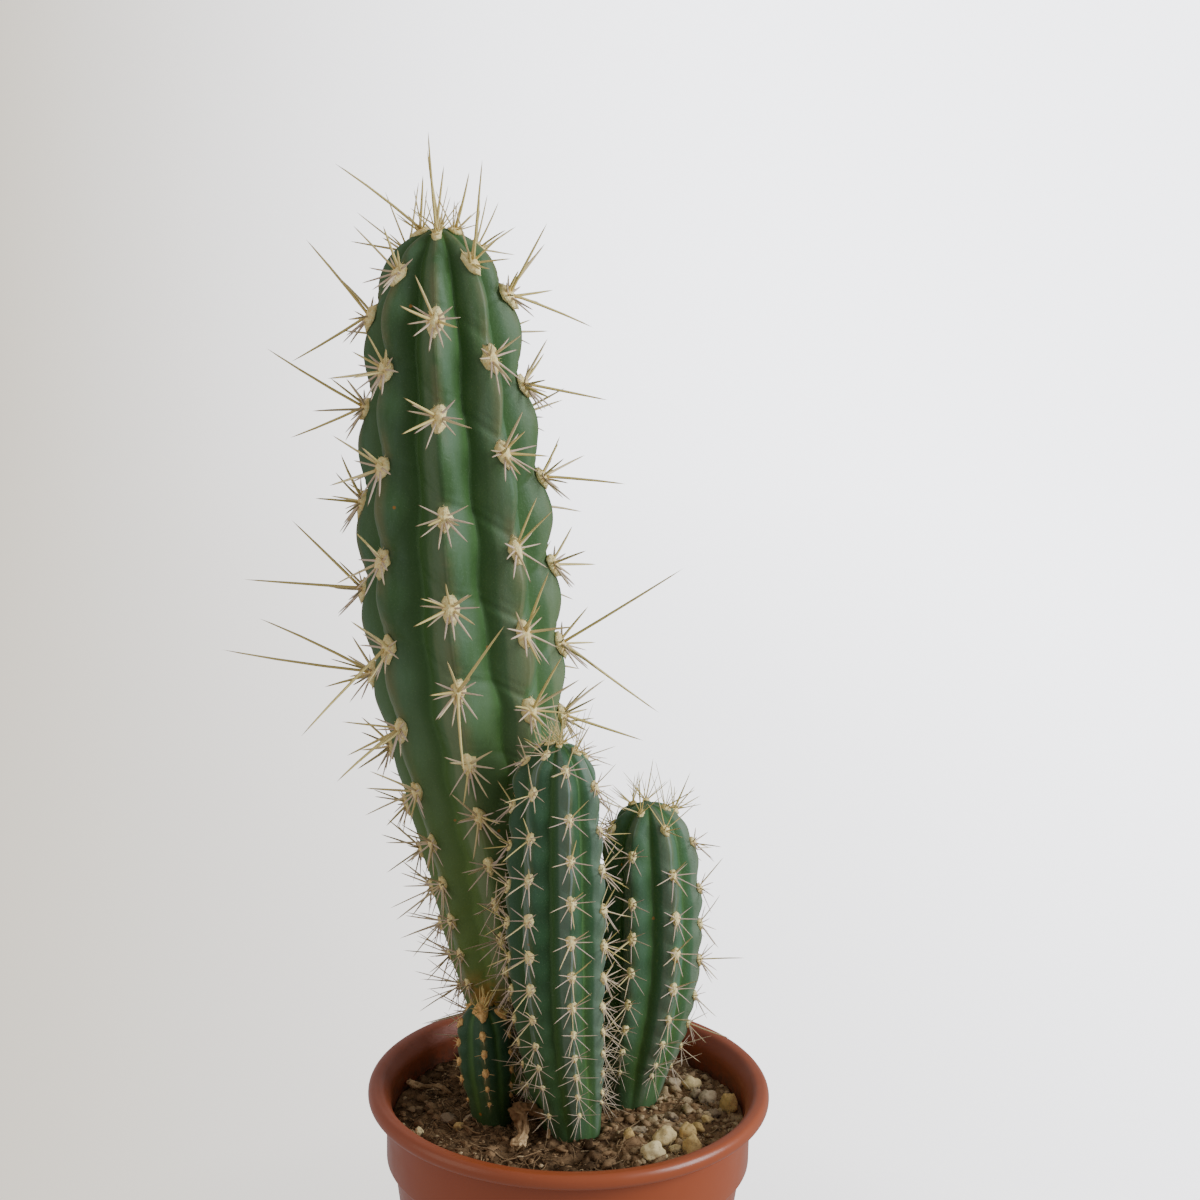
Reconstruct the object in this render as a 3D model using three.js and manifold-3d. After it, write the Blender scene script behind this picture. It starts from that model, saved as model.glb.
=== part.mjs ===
// A tall ribbed cactus with three shorter stems from the same root, in a thin plastic nursery pot.
//
// Millimetres, +Z up. The origin is the centre of the pot's foot, on the surface it stands on.
// An azimuth is in degrees round a stem's own axis: 0 faces the front (-Y), 90 faces +X.
// A stem is measured from its apex downwards along the crest of a rib.

import * as THREE from 'three';
import { mergeVertices } from 'three/addons/utils/BufferGeometryUtils.js';
import Module from 'manifold-3d';

const wasm = await Module();
wasm.setup();

// ---------------------------------------------------------------- driving dimensions

const FIT_GAP = 0.35; // clear space left between neighbouring pieces
const TAU = 2 * Math.PI;

const POT = {
  height: 108.5,
  rimRadius: 65, // 13 cm across the lip
  rimFlat: 3.4, // width of the lip's flat top
  lipDrop: 5.2, // height of the lip's rounded edge
  collarRadius: 59,
  collarHeight: 25.5, // from the pot's top down to the step under the collar
  shoulderRadius: 56.6, // body, just under the step
  footRadius: 46,
  wall: 1.5,
  channel: { inner: 17, outer: 35, rise: 2 }, // raised ring of the floor, between disc and foot
  drains: 8,
  drainRadius: 3.2,
  segments: 36,
};

const SOIL = {
  edge: 95.6, // height at the wall
  crown: 2.6, // how much higher the middle stands
  roughness: 0.9,
  segments: 36,
  rings: [0, 9, 18, 27, 36, 44, 51],
};

// Heights, axis positions and crest radii of each stem, from the soil upwards.
// `areoles` are the distances from the apex to each areole of the first rib, along its crest.
// `phases` shift the areoles of each rib, in areole pitches, against those of the first rib.
// `reaching` are the longest spines: rib, areole from the top, and the way from root to tip.
const STEMS = {
  stem_main: {
    firstAzimuth: -2,
    apex: 383.5,
    crownHeight: 30,
    ribDepth: 0.32,
    stations: [
      { z: 98, x: -13.3, y: 17.5, r: 11.2 },
      { z: 130, x: -17.6, y: 17, r: 17.2 },
      { z: 157, x: -21.2, y: 16.5, r: 21.2 },
      { z: 186, x: -25.3, y: 15.5, r: 24.1 },
      { z: 214, x: -30.4, y: 14.5, r: 26.9 },
      { z: 245, x: -34.6, y: 12.5, r: 30.2 },
      { z: 275, x: -37.4, y: 10.5, r: 30.3 },
      { z: 300, x: -39, y: 8.5, r: 28.8 },
      { z: 330, x: -41, y: 6.5, r: 25.3 },
      { z: 355, x: -42.3, y: 5, r: 22.3 },
      { z: 384, x: -43.6, y: 4, r: 20.5 },
    ],
    areoles: [5, 34, 62, 92, 120, 147, 172, 191, 208, 222, 235, 247, 258, 268, 277, 292],
    phases: [0, 0.45, -0.1, 0.4, -0.1, 0.45, 0.1, -0.45],
    pad: { radius: 0.95, height: 1 },
    spines: { radial: [8, 15], central: [20, 34], young: [7, 13] },
    reaching: [
      { rib: 6, areole: 0, way: [-25, -3, 19] },
      { rib: 6, areole: 1, way: [-19, 3, 22] },
      { rib: 6, areole: 1, way: [-23, -4, -14] },
      { rib: 6, areole: 2, way: [-29, -3, 18] },
      { rib: 6, areole: 2, way: [-23, 4, -11] },
      { rib: 6, areole: 4, way: [-22, 5, 20] },
      { rib: 6, areole: 4, way: [-36, -4, 3] },
      { rib: 6, areole: 5, way: [-46, -6, 8] },
      { rib: 6, areole: 5, way: [-36, 6, 15] },
      { rib: 7, areole: 5, way: [-24, -18, -23] },
      { rib: 7, areole: 6, way: [-18, -10, -14] },
      { rib: 0, areole: 0, way: [-2, -7, 30] },
      { rib: 0, areole: 5, way: [15, -26, 29] },
      { rib: 0, areole: 5, way: [3, -16, -21] },
      { rib: 1, areole: 0, way: [3, -12, 31] },
      { rib: 1, areole: 4, way: [7, -14, 23] },
      { rib: 1, areole: 5, way: [9, -12, 21] },
      { rib: 2, areole: 1, way: [11, -4, 22] },
      { rib: 2, areole: 1, way: [25, 2, -10] },
      { rib: 2, areole: 2, way: [25, -3, -4] },
      { rib: 2, areole: 3, way: [25, -4, -1] },
      { rib: 2, areole: 5, way: [37, -8, 27] },
      { rib: 2, areole: 5, way: [31, 4, -24] },
      { rib: 2, areole: 6, way: [25, -3, -7] },
    ],
  },
  stem_front: {
    firstAzimuth: 17.5,
    apex: 232,
    crownHeight: 16,
    ribDepth: 0.27,
    stations: [
      { z: 98, x: 1.9, y: -13.6, r: 8.6 },
      { z: 109, x: 0.1, y: -14.8, r: 10.9 },
      { z: 127, x: -2.4, y: -16.2, r: 13 },
      { z: 145, x: -4, y: -17.8, r: 14.1 },
      { z: 163, x: -4.7, y: -19.3, r: 14.7 },
      { z: 180, x: -5.1, y: -20.8, r: 14.8 },
      { z: 197, x: -5.4, y: -21.7, r: 14.4 },
      { z: 213, x: -5.4, y: -22.4, r: 13.3 },
      { z: 232, x: -5.2, y: -23, r: 12.6 },
    ],
    areoles: [2, 12, 27, 40, 53.5, 66, 78, 89, 99, 107.5, 115, 122.5, 129.5],
    phases: [0, 0.5, 0, 0.45, -0.25, 0, -0.5],
    pad: { radius: 0.7, height: 0.7 },
    spines: { radial: [6, 10], central: [10, 18], young: [6, 12] },
    reaching: [],
  },
  stem_right: {
    firstAzimuth: -22,
    apex: 201.8,
    crownHeight: 14,
    ribDepth: 0.26,
    stations: [
      { z: 98, x: 19.6, y: 10.6, r: 9 },
      { z: 108, x: 20.6, y: 10.4, r: 11 },
      { z: 119, x: 22.2, y: 10, r: 13.6 },
      { z: 133, x: 24.2, y: 9.6, r: 15.2 },
      { z: 147, x: 25.5, y: 9.3, r: 15.8 },
      { z: 162, x: 25.5, y: 9, r: 15.7 },
      { z: 176, x: 25, y: 8.6, r: 15.3 },
      { z: 189, x: 24, y: 8.3, r: 14.3 },
      { z: 202, x: 23.3, y: 8, r: 13.6 },
    ],
    areoles: [6, 21, 36.5, 48.5, 60.5, 72, 81.5, 90, 98],
    phases: [0, 0.45, 0, 0.45, 0, -0.2, -0.4],
    pad: { radius: 0.7, height: 0.7 },
    spines: { radial: [6, 10], central: [10, 17], young: [6, 12] },
    reaching: [],
  },
  stem_pup: {
    firstAzimuth: 3,
    apex: 138.9,
    crownHeight: 8,
    ribDepth: 0.24,
    stations: [
      { z: 98, x: -24.3, y: -7.4, r: 6 },
      { z: 108, x: -25.6, y: -7.8, r: 7.4 },
      { z: 119, x: -26.8, y: -8.4, r: 8.6 },
      { z: 130, x: -27.5, y: -8.8, r: 8.6 },
      { z: 139, x: -28.4, y: -9, r: 7.9 },
    ],
    areoles: [5.5, 11.8, 18, 24.5, 30.5, 36.5],
    phases: [0, 0.4, 0, 0.4, -0.3],
    pad: { radius: 0.6, height: 0.6 },
    spines: { radial: [3, 5.5], central: [5, 8], young: [3, 6] },
    reaching: [],
  },
};

// Ribs: they are `shallow` times as deep at the soil and at their full depth `deepOver` above it.
// Between areoles a crest swells by `swell` times the pitch, and `lag` pitches below each one the
// swelling starts, which leaves a notch above the next.
const RIB = { shallow: 0.4, deepOver: 60, swell: 0.045, lag: 0.12 };

// Root necks: depth under the soil, and radius as a share of the stem's radius at the soil.
const NECK = [
  { depth: 1.5, share: 1 },
  { depth: 16, share: 0.7 },
];
const NECK_TIP = 27;

// Pebbles: place on the soil, size across, front to back and upwards, and turn in degrees.
const PEBBLES = [
  { x: 27.6, y: -29, size: [6.6, 6.4, 5.6], turn: 20 },
  { x: 31.2, y: -18, size: [6.8, 5.8, 5.2], turn: 75 },
  { x: 38.2, y: -16, size: [5.6, 5.2, 5], turn: 10 },
  { x: 39.8, y: -24.3, size: [4.2, 6.4, 4.6], turn: -15 },
  { x: 40.2, y: 21.3, size: [6.4, 4.6, 4.4], turn: -20 },
  { x: 52.4, y: 7.6, size: [4.2, 6.2, 5.4], turn: 10 },
  { x: 34.4, y: -23.2, size: [3, 3.2, 3], turn: 40 },
  { x: 19.6, y: -19.4, size: [3, 3.6, 3.4], turn: 0 },
  { x: 41.8, y: -8.8, size: [2.8, 4.2, 2.8], turn: 25 },
  { x: 44.8, y: -3.8, size: [3.8, 3, 2.4], turn: 5 },
  { x: -47.8, y: -15.3, size: [2.6, 3.4, 3], turn: 0 },
  { x: -34.8, y: -13, size: [3.8, 3.6, 3], turn: 50 },
];

// Dry scraps on the soil: places along the middle line, with its height over the soil and radius.
const SCRAPS = {
  dry_husk: [
    { x: -16.4, y: -27, lift: 1.3, r: 0.9 },
    { x: -14.4, y: -24.8, lift: 3.6, r: 1.8 },
    { x: -15, y: -22.2, lift: 7, r: 2.4 },
    { x: -15.6, y: -20, lift: 10, r: 1.9 },
    { x: -15, y: -18.6, lift: 12.4, r: 0.8 },
  ],
  root_scrap: [
    { x: -53, y: 19, lift: 2.2, r: 1 },
    { x: -52.6, y: 16.6, lift: 2.6, r: 1.3 },
    { x: -50.4, y: 15.6, lift: 2, r: 1.2 },
    { x: -47, y: 16, lift: 1.5, r: 1 },
    { x: -43, y: 15.6, lift: 1.3, r: 0.9 },
    { x: -39, y: 12.4, lift: 1.2, r: 0.7 },
  ],
};

const COLOURS = {
  pot: new THREE.Color(0.5, 0.2, 0.12),
  soil: new THREE.Color(0.1, 0.065, 0.04),
  pebble: new THREE.Color(0.55, 0.45, 0.27),
  husk: new THREE.Color(0.52, 0.38, 0.22),
  cactus: new THREE.Color(0.1, 0.2, 0.09),
};

// ---------------------------------------------------------------- small helpers

const clamp = THREE.MathUtils.clamp;
const lerp = THREE.MathUtils.lerp;
const radians = THREE.MathUtils.degToRad;
const point = (x, y, z) => new THREE.Vector3(x, y, z);

// A repeatable stream of numbers in [0, 1), the same on every run.
function randomStream(seed) {
  let state = seed;
  return () => {
    state = (state * 1664525 + 1013904223) % 4294967296;
    return state / 4294967296;
  };
}

// Reads one column of a stem's stations at a height, on a cubic through the neighbouring rows.
function readStations(stations, key, z) {
  const last = stations.length - 1;
  const found = stations.findIndex((row) => row.z > z);
  const upper = clamp(found < 0 ? last : found, 1, last);
  const [a, b] = [stations[upper - 1], stations[upper]];
  const slopeAt = (i) => {
    const [p, q] = [stations[Math.max(i - 1, 0)], stations[Math.min(i + 1, last)]];
    return (q[key] - p[key]) / (q.z - p.z);
  };
  const span = b.z - a.z;
  const t = clamp((z - a.z) / span, 0, 1);
  const [t2, t3] = [t * t, t * t * t];
  return (2 * t3 - 3 * t2 + 1) * a[key] + (t3 - 2 * t2 + t) * span * slopeAt(upper - 1)
    + (3 * t2 - 2 * t3) * b[key] + (t3 - t2) * span * slopeAt(upper);
}

function geometryOf(vertices, triangles) {
  const geometry = new THREE.BufferGeometry();
  const flat = vertices.flatMap((p) => [p.x, p.y, p.z]);
  geometry.setAttribute('position', new THREE.Float32BufferAttribute(flat, 3));
  geometry.setIndex(triangles.flat());
  return geometry;
}

function solidOf(geometry) {
  const bare = geometry.clone();
  bare.deleteAttribute('normal');
  bare.deleteAttribute('uv');
  const merged = mergeVertices(bare, 1e-4);
  const vertProperties = new Float32Array(merged.attributes.position.array);
  const triVerts = new Uint32Array(merged.index.array);
  return new wasm.Manifold(new wasm.Mesh({ numProp: 3, vertProperties, triVerts }));
}

function geometryFrom(solid) {
  const mesh = solid.getMesh();
  const geometry = new THREE.BufferGeometry();
  const positions = new Float32Array(mesh.numVert * 3);
  for (let i = 0; i < mesh.numVert; i += 1) {
    positions.set(mesh.vertProperties.subarray(i * mesh.numProp, i * mesh.numProp + 3), i * 3);
  }
  geometry.setAttribute('position', new THREE.BufferAttribute(positions, 3));
  geometry.setIndex(Array.from(mesh.triVerts));
  return geometry;
}

function cutAway(geometry, tools) {
  let solid = solidOf(geometry);
  for (const tool of tools) solid = solid.subtract(solidOf(tool));
  return geometryFrom(solid);
}

// A lathe turned about the Z axis from [radius, height] pairs that run anticlockwise.
function turned(profile, segments) {
  const points = profile.map(([radius, height]) => new THREE.Vector2(radius, height));
  return new THREE.LatheGeometry(points, segments).rotateX(Math.PI / 2);
}

// ---------------------------------------------------------------- pot

function potProfile() {
  const { height, rimRadius, rimFlat, lipDrop, collarRadius, shoulderRadius, footRadius, wall } = POT;
  const { inner, outer, rise } = POT.channel;
  const step = height - POT.collarHeight;
  const underLip = height - lipDrop;
  return [
    [0, 0], [inner - 1, 0], [inner + 1, rise], [outer - 1, rise], [outer + 1, 0],
    [footRadius - 1.5, 0], [footRadius, 1.5],
    [shoulderRadius, step - 1.2], [collarRadius, step],
    [collarRadius, underLip], [rimRadius - 1, underLip], [rimRadius, underLip + 1.4],
    [rimRadius, height - 1.6], [rimRadius - 1.2, height],
    [rimRadius - 1.2 - rimFlat, height], [collarRadius - wall, height - 4.5],
    [collarRadius - wall, step + 1], [shoulderRadius - wall, step - 0.2],
    [footRadius - wall, wall], [outer + 1 - wall, wall], [outer - 1, rise + wall],
    [inner + 1, rise + wall], [inner - 1 + wall, wall], [0, wall],
  ];
}

// The wall's inner radius, which the soil follows, at a height above the floor.
function potInnerRadius(z) {
  const step = POT.height - POT.collarHeight;
  const foot = POT.footRadius - POT.wall;
  const shoulder = POT.shoulderRadius - POT.wall;
  return z > step ? POT.collarRadius - POT.wall : lerp(foot, shoulder, clamp(z / step, 0, 1));
}

function potGeometry() {
  const { channel, drains, drainRadius, wall } = POT;
  const middle = (channel.inner + channel.outer) / 2;
  const holes = [];
  for (let i = 0; i < drains; i += 1) {
    const turn = (i / drains) * TAU;
    const hole = new THREE.CylinderGeometry(drainRadius, drainRadius, 4 * wall, 8).rotateX(Math.PI / 2);
    holes.push(hole.translate(middle * Math.cos(turn), middle * Math.sin(turn), channel.rise + wall / 2));
  }
  return cutAway(turned(potProfile(), POT.segments), holes);
}

// ---------------------------------------------------------------- stems

class Stem {
  constructor(name, spec) {
    Object.assign(this, spec);
    this.name = name;
    this.ribs = spec.phases.length;
    this.meridian = this.measureMeridian();
  }

  // The soil's base row and the radius the stem has there.
  get base() {
    return this.stations[0];
  }

  axisAt(z) {
    return point(readStations(this.stations, 'x', z), readStations(this.stations, 'y', z), z);
  }

  // Crest radius: the side's radius, closed over the crown as half an ellipse.
  crestRadius(z) {
    const intoCrown = Math.max(0, z - (this.apex - this.crownHeight)) / this.crownHeight;
    const dome = Math.sqrt(Math.max(0, 1 - intoCrown ** 2));
    return readStations(this.stations, 'r', z) * dome;
  }

  // Lengths along the crest from the apex, with the height at each.
  measureMeridian() {
    const table = [{ arc: 0, z: this.apex }];
    const step = 0.1;
    for (let z = this.apex - step; z > this.base.z - 1; z -= step) {
      const before = table[table.length - 1];
      const rise = this.crestRadius(z) - this.crestRadius(before.z);
      table.push({ arc: before.arc + Math.hypot(step, rise), z });
    }
    return table;
  }

  heightAt(arc) {
    const i = clamp(this.meridian.findIndex((row) => row.arc >= arc), 1, this.meridian.length - 1);
    const [a, b] = [this.meridian[i - 1], this.meridian[i]];
    return lerp(a.z, b.z, clamp((arc - a.arc) / (b.arc - a.arc), 0, 1));
  }

  // Distance from the apex of a place counted in areoles of the first rib; -1 is the apex.
  arcAt(count) {
    const last = this.areoles.length - 1;
    if (count < 0) return this.areoles[0] * (1 + count);
    const i = Math.min(Math.floor(count), last - 1);
    return lerp(this.areoles[i], this.areoles[i + 1], count - i);
  }

  // How far the rows of the surface are moved up or down at a place round the stem, in pitches.
  shiftAt(count, turn) {
    const rib = Math.floor(turn);
    const wrap = (i) => this.phases[((i % this.ribs) + this.ribs) % this.ribs];
    const fade = clamp(Math.min(count, this.areoles.length - 1 - count), 0, 1);
    return fade * lerp(wrap(rib), wrap(rib + 1), turn - rib);
  }

  outward(z, azimuth) {
    const axis = this.axisAt(z + 1).sub(this.axisAt(z - 1)).normalize();
    const flat = point(Math.sin(azimuth), -Math.cos(azimuth), 0);
    return flat.addScaledVector(axis, -flat.dot(axis)).normalize();
  }

  azimuthAt(turn) {
    return radians(this.firstAzimuth) + (turn / this.ribs) * TAU;
  }

  // Radius across a rib: |cos| gives a rounded crest and a sharp furrow, shallower near the soil.
  ribbedRadius(z, turn) {
    const ridge = Math.abs(Math.cos(Math.PI * turn));
    const deepening = clamp(RIB.shallow + (z - this.base.z) / RIB.deepOver, 0, 1);
    return this.crestRadius(z) * (1 - this.ribDepth * deepening * (1 - ridge));
  }

  // The crest swells between areoles and is notched just above each, by a sine along the rib.
  swellAt(count, turn) {
    const i = clamp(Math.floor(count), 0, this.areoles.length - 2);
    const pitch = this.areoles[i + 1] - this.areoles[i];
    const wave = Math.sin(TAU * (count - RIB.lag)) * clamp(count, 0, 1);
    return RIB.swell * pitch * wave * Math.cos(Math.PI * turn) ** 2;
  }

  // The surface: `count` runs down the stem in areoles, `turn` round it in ribs.
  surface(count, turn) {
    const z = this.heightAt(this.arcAt(count + this.shiftAt(count, turn)));
    const out = this.outward(z, this.azimuthAt(turn));
    return this.axisAt(z).addScaledVector(out, this.ribbedRadius(z, turn) + this.swellAt(count, turn));
  }

  // Whether a place lies inside the stem, or within `margin` of it.
  holds(place, margin) {
    if (place.z > this.apex + margin || place.z < this.base.z - NECK_TIP) return false;
    const z = clamp(place.z, this.base.z, this.apex - 0.5);
    const off = place.clone().sub(this.axisAt(z)).setZ(0);
    const turn = ((Math.atan2(off.x, -off.y) - radians(this.firstAzimuth)) / TAU) * this.ribs;
    return off.length() < this.ribbedRadius(z, turn) + margin;
  }
}

const ROWS_LONG = [0, 0.3, 0.62, 0.88];
const ROWS_SHORT = [0, 0.5];
const ROWS_CROWN = [0, 0.3, 0.65];
const ROWS_LONG_CROWN = [0, 0.3, 0.55, 0.8];
const SIDES_PER_RIB = [0, 0.25, 0.5, 0.75];
const LONG_PITCH = 20;

// Where the rows of a stem's surface lie, in areoles from the top one down.
function rowCounts(stem) {
  const counts = [-0.55];
  for (let i = 0; i + 1 < stem.areoles.length; i += 1) {
    const isLong = stem.areoles[i + 1] - stem.areoles[i] > LONG_PITCH;
    const crown = isLong ? ROWS_LONG_CROWN : ROWS_CROWN;
    const side = isLong ? ROWS_LONG : ROWS_SHORT;
    counts.push(...(i === 0 ? crown : side).map((part) => i + part));
  }
  counts.push(stem.areoles.length - 1);
  return counts;
}

// Whether a rib has an areole on a row: its top one sits lower where its phase says so.
function hasAreole(stem, count, rib) {
  const phase = stem.phases[rib];
  if (count < 0 || count === stem.areoles.length - 1) return false;
  if (count < 1) return phase >= 0.25 ? count === 0.3 : count === 0 && phase > -0.25;
  return Number.isInteger(count);
}

// The grid of a stem: the apex, rows down to the soil, then the round root neck.
function stemGrid(stem) {
  const turns = [];
  for (let rib = 0; rib < stem.ribs; rib += 1) turns.push(...SIDES_PER_RIB.map((part) => rib + part));
  const counts = rowCounts(stem);
  const rows = counts.map((count) => turns.map((turn) => stem.surface(count, turn)));
  const foot = stem.axisAt(stem.base.z);
  for (const { depth, share } of NECK) {
    const radius = stem.base.r * share;
    rows.push(turns.map((turn) => {
      const azimuth = stem.azimuthAt(turn);
      return point(foot.x + radius * Math.sin(azimuth), foot.y - radius * Math.cos(azimuth),
        foot.z - depth);
    }));
  }
  return { rows, counts, turns };
}

// ---------------------------------------------------------------- spines

// Clear space left round a spine, by what it passes. Other stems bear pads as well.
const CLEAR = { spine: 0.35, ownStem: 0.2, otherStem: 2, soil: 1.6, scrap: 0.8, rim: 1 };
const PAD_CLEARANCE = 3; // an areole nearer than this to another stem is left out
const FURTHEST_MEETING = 90; // spines with roots further apart than this can't meet
const SHORTER = [1, 0.8, 0.62, 0.48, 0.36];

// Smallest gap between two spines, sampled finely enough for needles a few centimetres long.
function segmentGap(a, b) {
  const along = new THREE.Line3(b.root, b.tip);
  const near = point(0, 0, 0);
  let best = Infinity;
  for (let s = 0; s <= 1; s += 0.05) {
    const here = a.root.clone().lerp(a.tip, s);
    const t = along.closestPointToPointParameter(here, true);
    const thickness = a.thick * (1 - s) + b.thick * (1 - t);
    best = Math.min(best, here.distanceTo(along.at(t, near)) - thickness);
  }
  return best;
}

function soilHeight(x, y) {
  const outward = clamp(Math.hypot(x, y) / potInnerRadius(POT.height), 0, 1);
  const lumps = Math.sin(0.31 * x + 1.3) * Math.cos(0.27 * y - 0.4) + 0.6 * Math.sin(0.53 * x - 0.47 * y);
  return SOIL.edge + SOIL.crown * (1 - outward ** 2) + SOIL.roughness * lumps * (1 - outward ** 6);
}

function scrapSpot({ x, y, lift, r }) {
  return { spot: point(x, y, soilHeight(x, y) + lift), r };
}

const SCRAP_SPOTS = Object.values(SCRAPS).flat().map(scrapSpot);

// Keeps every spine clear of the stems, the soil, what lies on it, the pot and the other spines.
class Thicket {
  constructor(stems) {
    this.stems = stems;
    this.spines = [];
  }

  isClearOfPieces(spine) {
    for (let s = 0.2; s <= 1.001; s += 0.1) {
      const place = spine.root.clone().lerp(spine.tip, s);
      const margin = (stem) => (stem === spine.stem ? CLEAR.ownStem : CLEAR.otherStem);
      if (this.stems.some((stem) => stem.holds(place, margin(stem)))) return false;
      if (place.z < soilHeight(place.x, place.y) + CLEAR.soil) return false;
      if (SCRAP_SPOTS.some(({ spot, r }) => spot.distanceTo(place) < r + CLEAR.scrap)) return false;
      const insideRim = Math.hypot(place.x, place.y) < POT.collarRadius - POT.wall - CLEAR.rim;
      if (place.z < POT.height + CLEAR.rim && !insideRim) return false;
    }
    return true;
  }

  isClear(spine) {
    return this.isClearOfPieces(spine) && this.spines.every((other) => other.pad === spine.pad
      || spine.root.distanceTo(other.root) > FURTHEST_MEETING || segmentGap(spine, other) > CLEAR.spine);
  }

  // Settles each spine at the longest form of it that is clear; the longest spines choose first.
  settle(spines) {
    const length = ({ root, tip }) => root.distanceTo(tip);
    for (const spine of [...spines].sort((a, b) => length(b) - length(a))) {
      const forms = SHORTER.map((share) => ({ ...spine, tip: spine.root.clone().lerp(spine.tip, share) }));
      const clear = forms.find((form) => this.isClear(form));
      spine.grown = clear ? clear.tip : null;
      if (clear) this.spines.push(clear);
    }
  }
}

// The six spines of an areole lie over the six facets of its pad. These are their angles from
// straight up the rib, clockwise. One of the six is the long central.
const SPINE_SECTORS = [-32, -88, -160, 160, 88, 32];

function randomWays(stem, count, { normal, up, side }, random) {
  const young = count < 1;
  const central = Math.floor(random() * SPINE_SECTORS.length);
  return SPINE_SECTORS.map((sector, k) => {
    const isCentral = k === central && !young;
    const [low, high] = young ? stem.spines.young : isCentral ? stem.spines.central : stem.spines.radial;
    const angle = radians(sector + 16 * (random() - 0.5));
    const lean = radians(isCentral ? 14 + 22 * random() : young ? 35 + 20 * random() : 60 + 16 * random());
    const way = up.clone().multiplyScalar(Math.cos(angle)).addScaledVector(side, Math.sin(angle));
    way.multiplyScalar(Math.sin(lean)).addScaledVector(normal, Math.cos(lean));
    return way.multiplyScalar(lerp(low, high, random()));
  });
}

// Gives the reaching spines of an areole the facets that face their way best.
function withReaching(ways, stem, rib, count, { up, side }) {
  const chosen = stem.reaching.filter((row) => row.rib === rib && row.areole === Math.floor(count));
  const free = new Set(SPINE_SECTORS.keys());
  for (const row of chosen) {
    const way = point(...row.way);
    const angle = Math.atan2(way.dot(side), way.dot(up));
    const match = (k) => Math.cos(angle - radians(SPINE_SECTORS[k]));
    const best = [...free].sort((a, b) => match(b) - match(a))[0];
    free.delete(best);
    ways[best] = way;
  }
  return ways;
}

// Raises six points round a crest vertex, with a seventh in their middle, as an areole's woolly pad.
function raisePad(vertices, stem, { centre, normal, up, side, ring }) {
  const { radius, height } = stem.pad;
  const top = vertices.push(centre.clone().addScaledVector(normal, height * 1.25)) - 1;
  const bank = ring.map((_, k) => {
    const angle = radians(60 * k);
    const corner = centre.clone().addScaledVector(normal, height);
    corner.addScaledVector(up, radius * Math.cos(angle)).addScaledVector(side, -radius * Math.sin(angle));
    return vertices.push(corner) - 1;
  });
  return { ring, top, bank };
}

function plannedSpines(vertices, stem, pad, ways) {
  return ways.map((way, k) => {
    const [a, b] = [vertices[pad.bank[k]], vertices[pad.bank[(k + 1) % 6]]];
    const root = vertices[pad.top].clone().add(a).add(b).divideScalar(3);
    return { root, tip: root.clone().add(way), thick: stem.pad.radius * 0.6, stem, pad };
  });
}

// Joins a pad to the ring of stem vertices round it, with a three-sided spine on each top facet.
function areoleTriangles(vertices, { ring, top, bank }, spines) {
  return spines.flatMap(({ grown }, k) => {
    const next = (k + 1) % 6;
    const flank = [[ring[k], ring[next], bank[next]], [ring[k], bank[next], bank[k]]];
    if (!grown) return [...flank, [top, bank[k], bank[next]]];
    const tip = vertices.push(grown) - 1;
    return [...flank, [top, bank[k], tip], [bank[k], bank[next], tip], [bank[next], top, tip]];
  });
}

function stemGeometry(stem, seed, thicket) {
  const random = randomStream(seed);
  const { rows, counts, turns } = stemGrid(stem);
  const sides = turns.length;
  const vertices = rows.flat();
  const triangles = [];
  const at = (row, column) => row * sides + ((column + sides) % sides);
  const areoles = new Map();
  counts.forEach((count, row) => turns.forEach((turn, column) => {
    if (Number.isInteger(turn) && hasAreole(stem, count, turn)) areoles.set(at(row, column), { row, column });
  }));
  const crowds = (index) => (other) => other !== stem && other.holds(vertices[index], PAD_CLEARANCE);
  for (const index of [...areoles.keys()]) if (thicket.stems.some(crowds(index))) areoles.delete(index);

  const addUnlessAreole = (...corners) => {
    if (!corners.some((corner) => areoles.has(corner))) triangles.push(corners);
  };
  for (let row = 0; row + 1 < rows.length; row += 1) {
    for (let column = 0; column < sides; column += 1) {
      addUnlessAreole(at(row, column), at(row + 1, column), at(row + 1, column + 1));
      addUnlessAreole(at(row, column), at(row + 1, column + 1), at(row, column + 1));
    }
  }
  const apex = vertices.push(stem.axisAt(stem.apex).setZ(stem.apex - 0.4)) - 1;
  const foot = stem.axisAt(stem.base.z);
  const tip = vertices.push(foot.setZ(stem.base.z - NECK_TIP)) - 1;
  for (let column = 0; column < sides; column += 1) {
    triangles.push([apex, at(0, column), at(0, column + 1)]);
    triangles.push([at(rows.length - 1, column), tip, at(rows.length - 1, column + 1)]);
  }
  const clusters = [...areoles].map(([index, { row, column }]) => {
    const up = vertices[at(row - 1, column)].clone().sub(vertices[at(row + 1, column)]).normalize();
    const normal = stem.outward(vertices[index].z, stem.azimuthAt(turns[column]));
    normal.addScaledVector(up, -normal.dot(up)).normalize();
    const ring = [at(row - 1, column), at(row - 1, column - 1), at(row, column - 1),
      at(row + 1, column), at(row + 1, column + 1), at(row, column + 1)];
    const place = { centre: vertices[index], normal, up, side: up.clone().cross(normal), ring };
    const drawn = randomWays(stem, counts[row], place, random);
    const ways = withReaching(drawn, stem, turns[column], counts[row], place);
    const pad = raisePad(vertices, stem, place);
    return { pad, spines: plannedSpines(vertices, stem, pad, ways) };
  });
  thicket.settle(clusters.flatMap(({ spines }) => spines));
  for (const { pad, spines } of clusters) triangles.push(...areoleTriangles(vertices, pad, spines));
  return compact(vertices, triangles);
}

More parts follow.
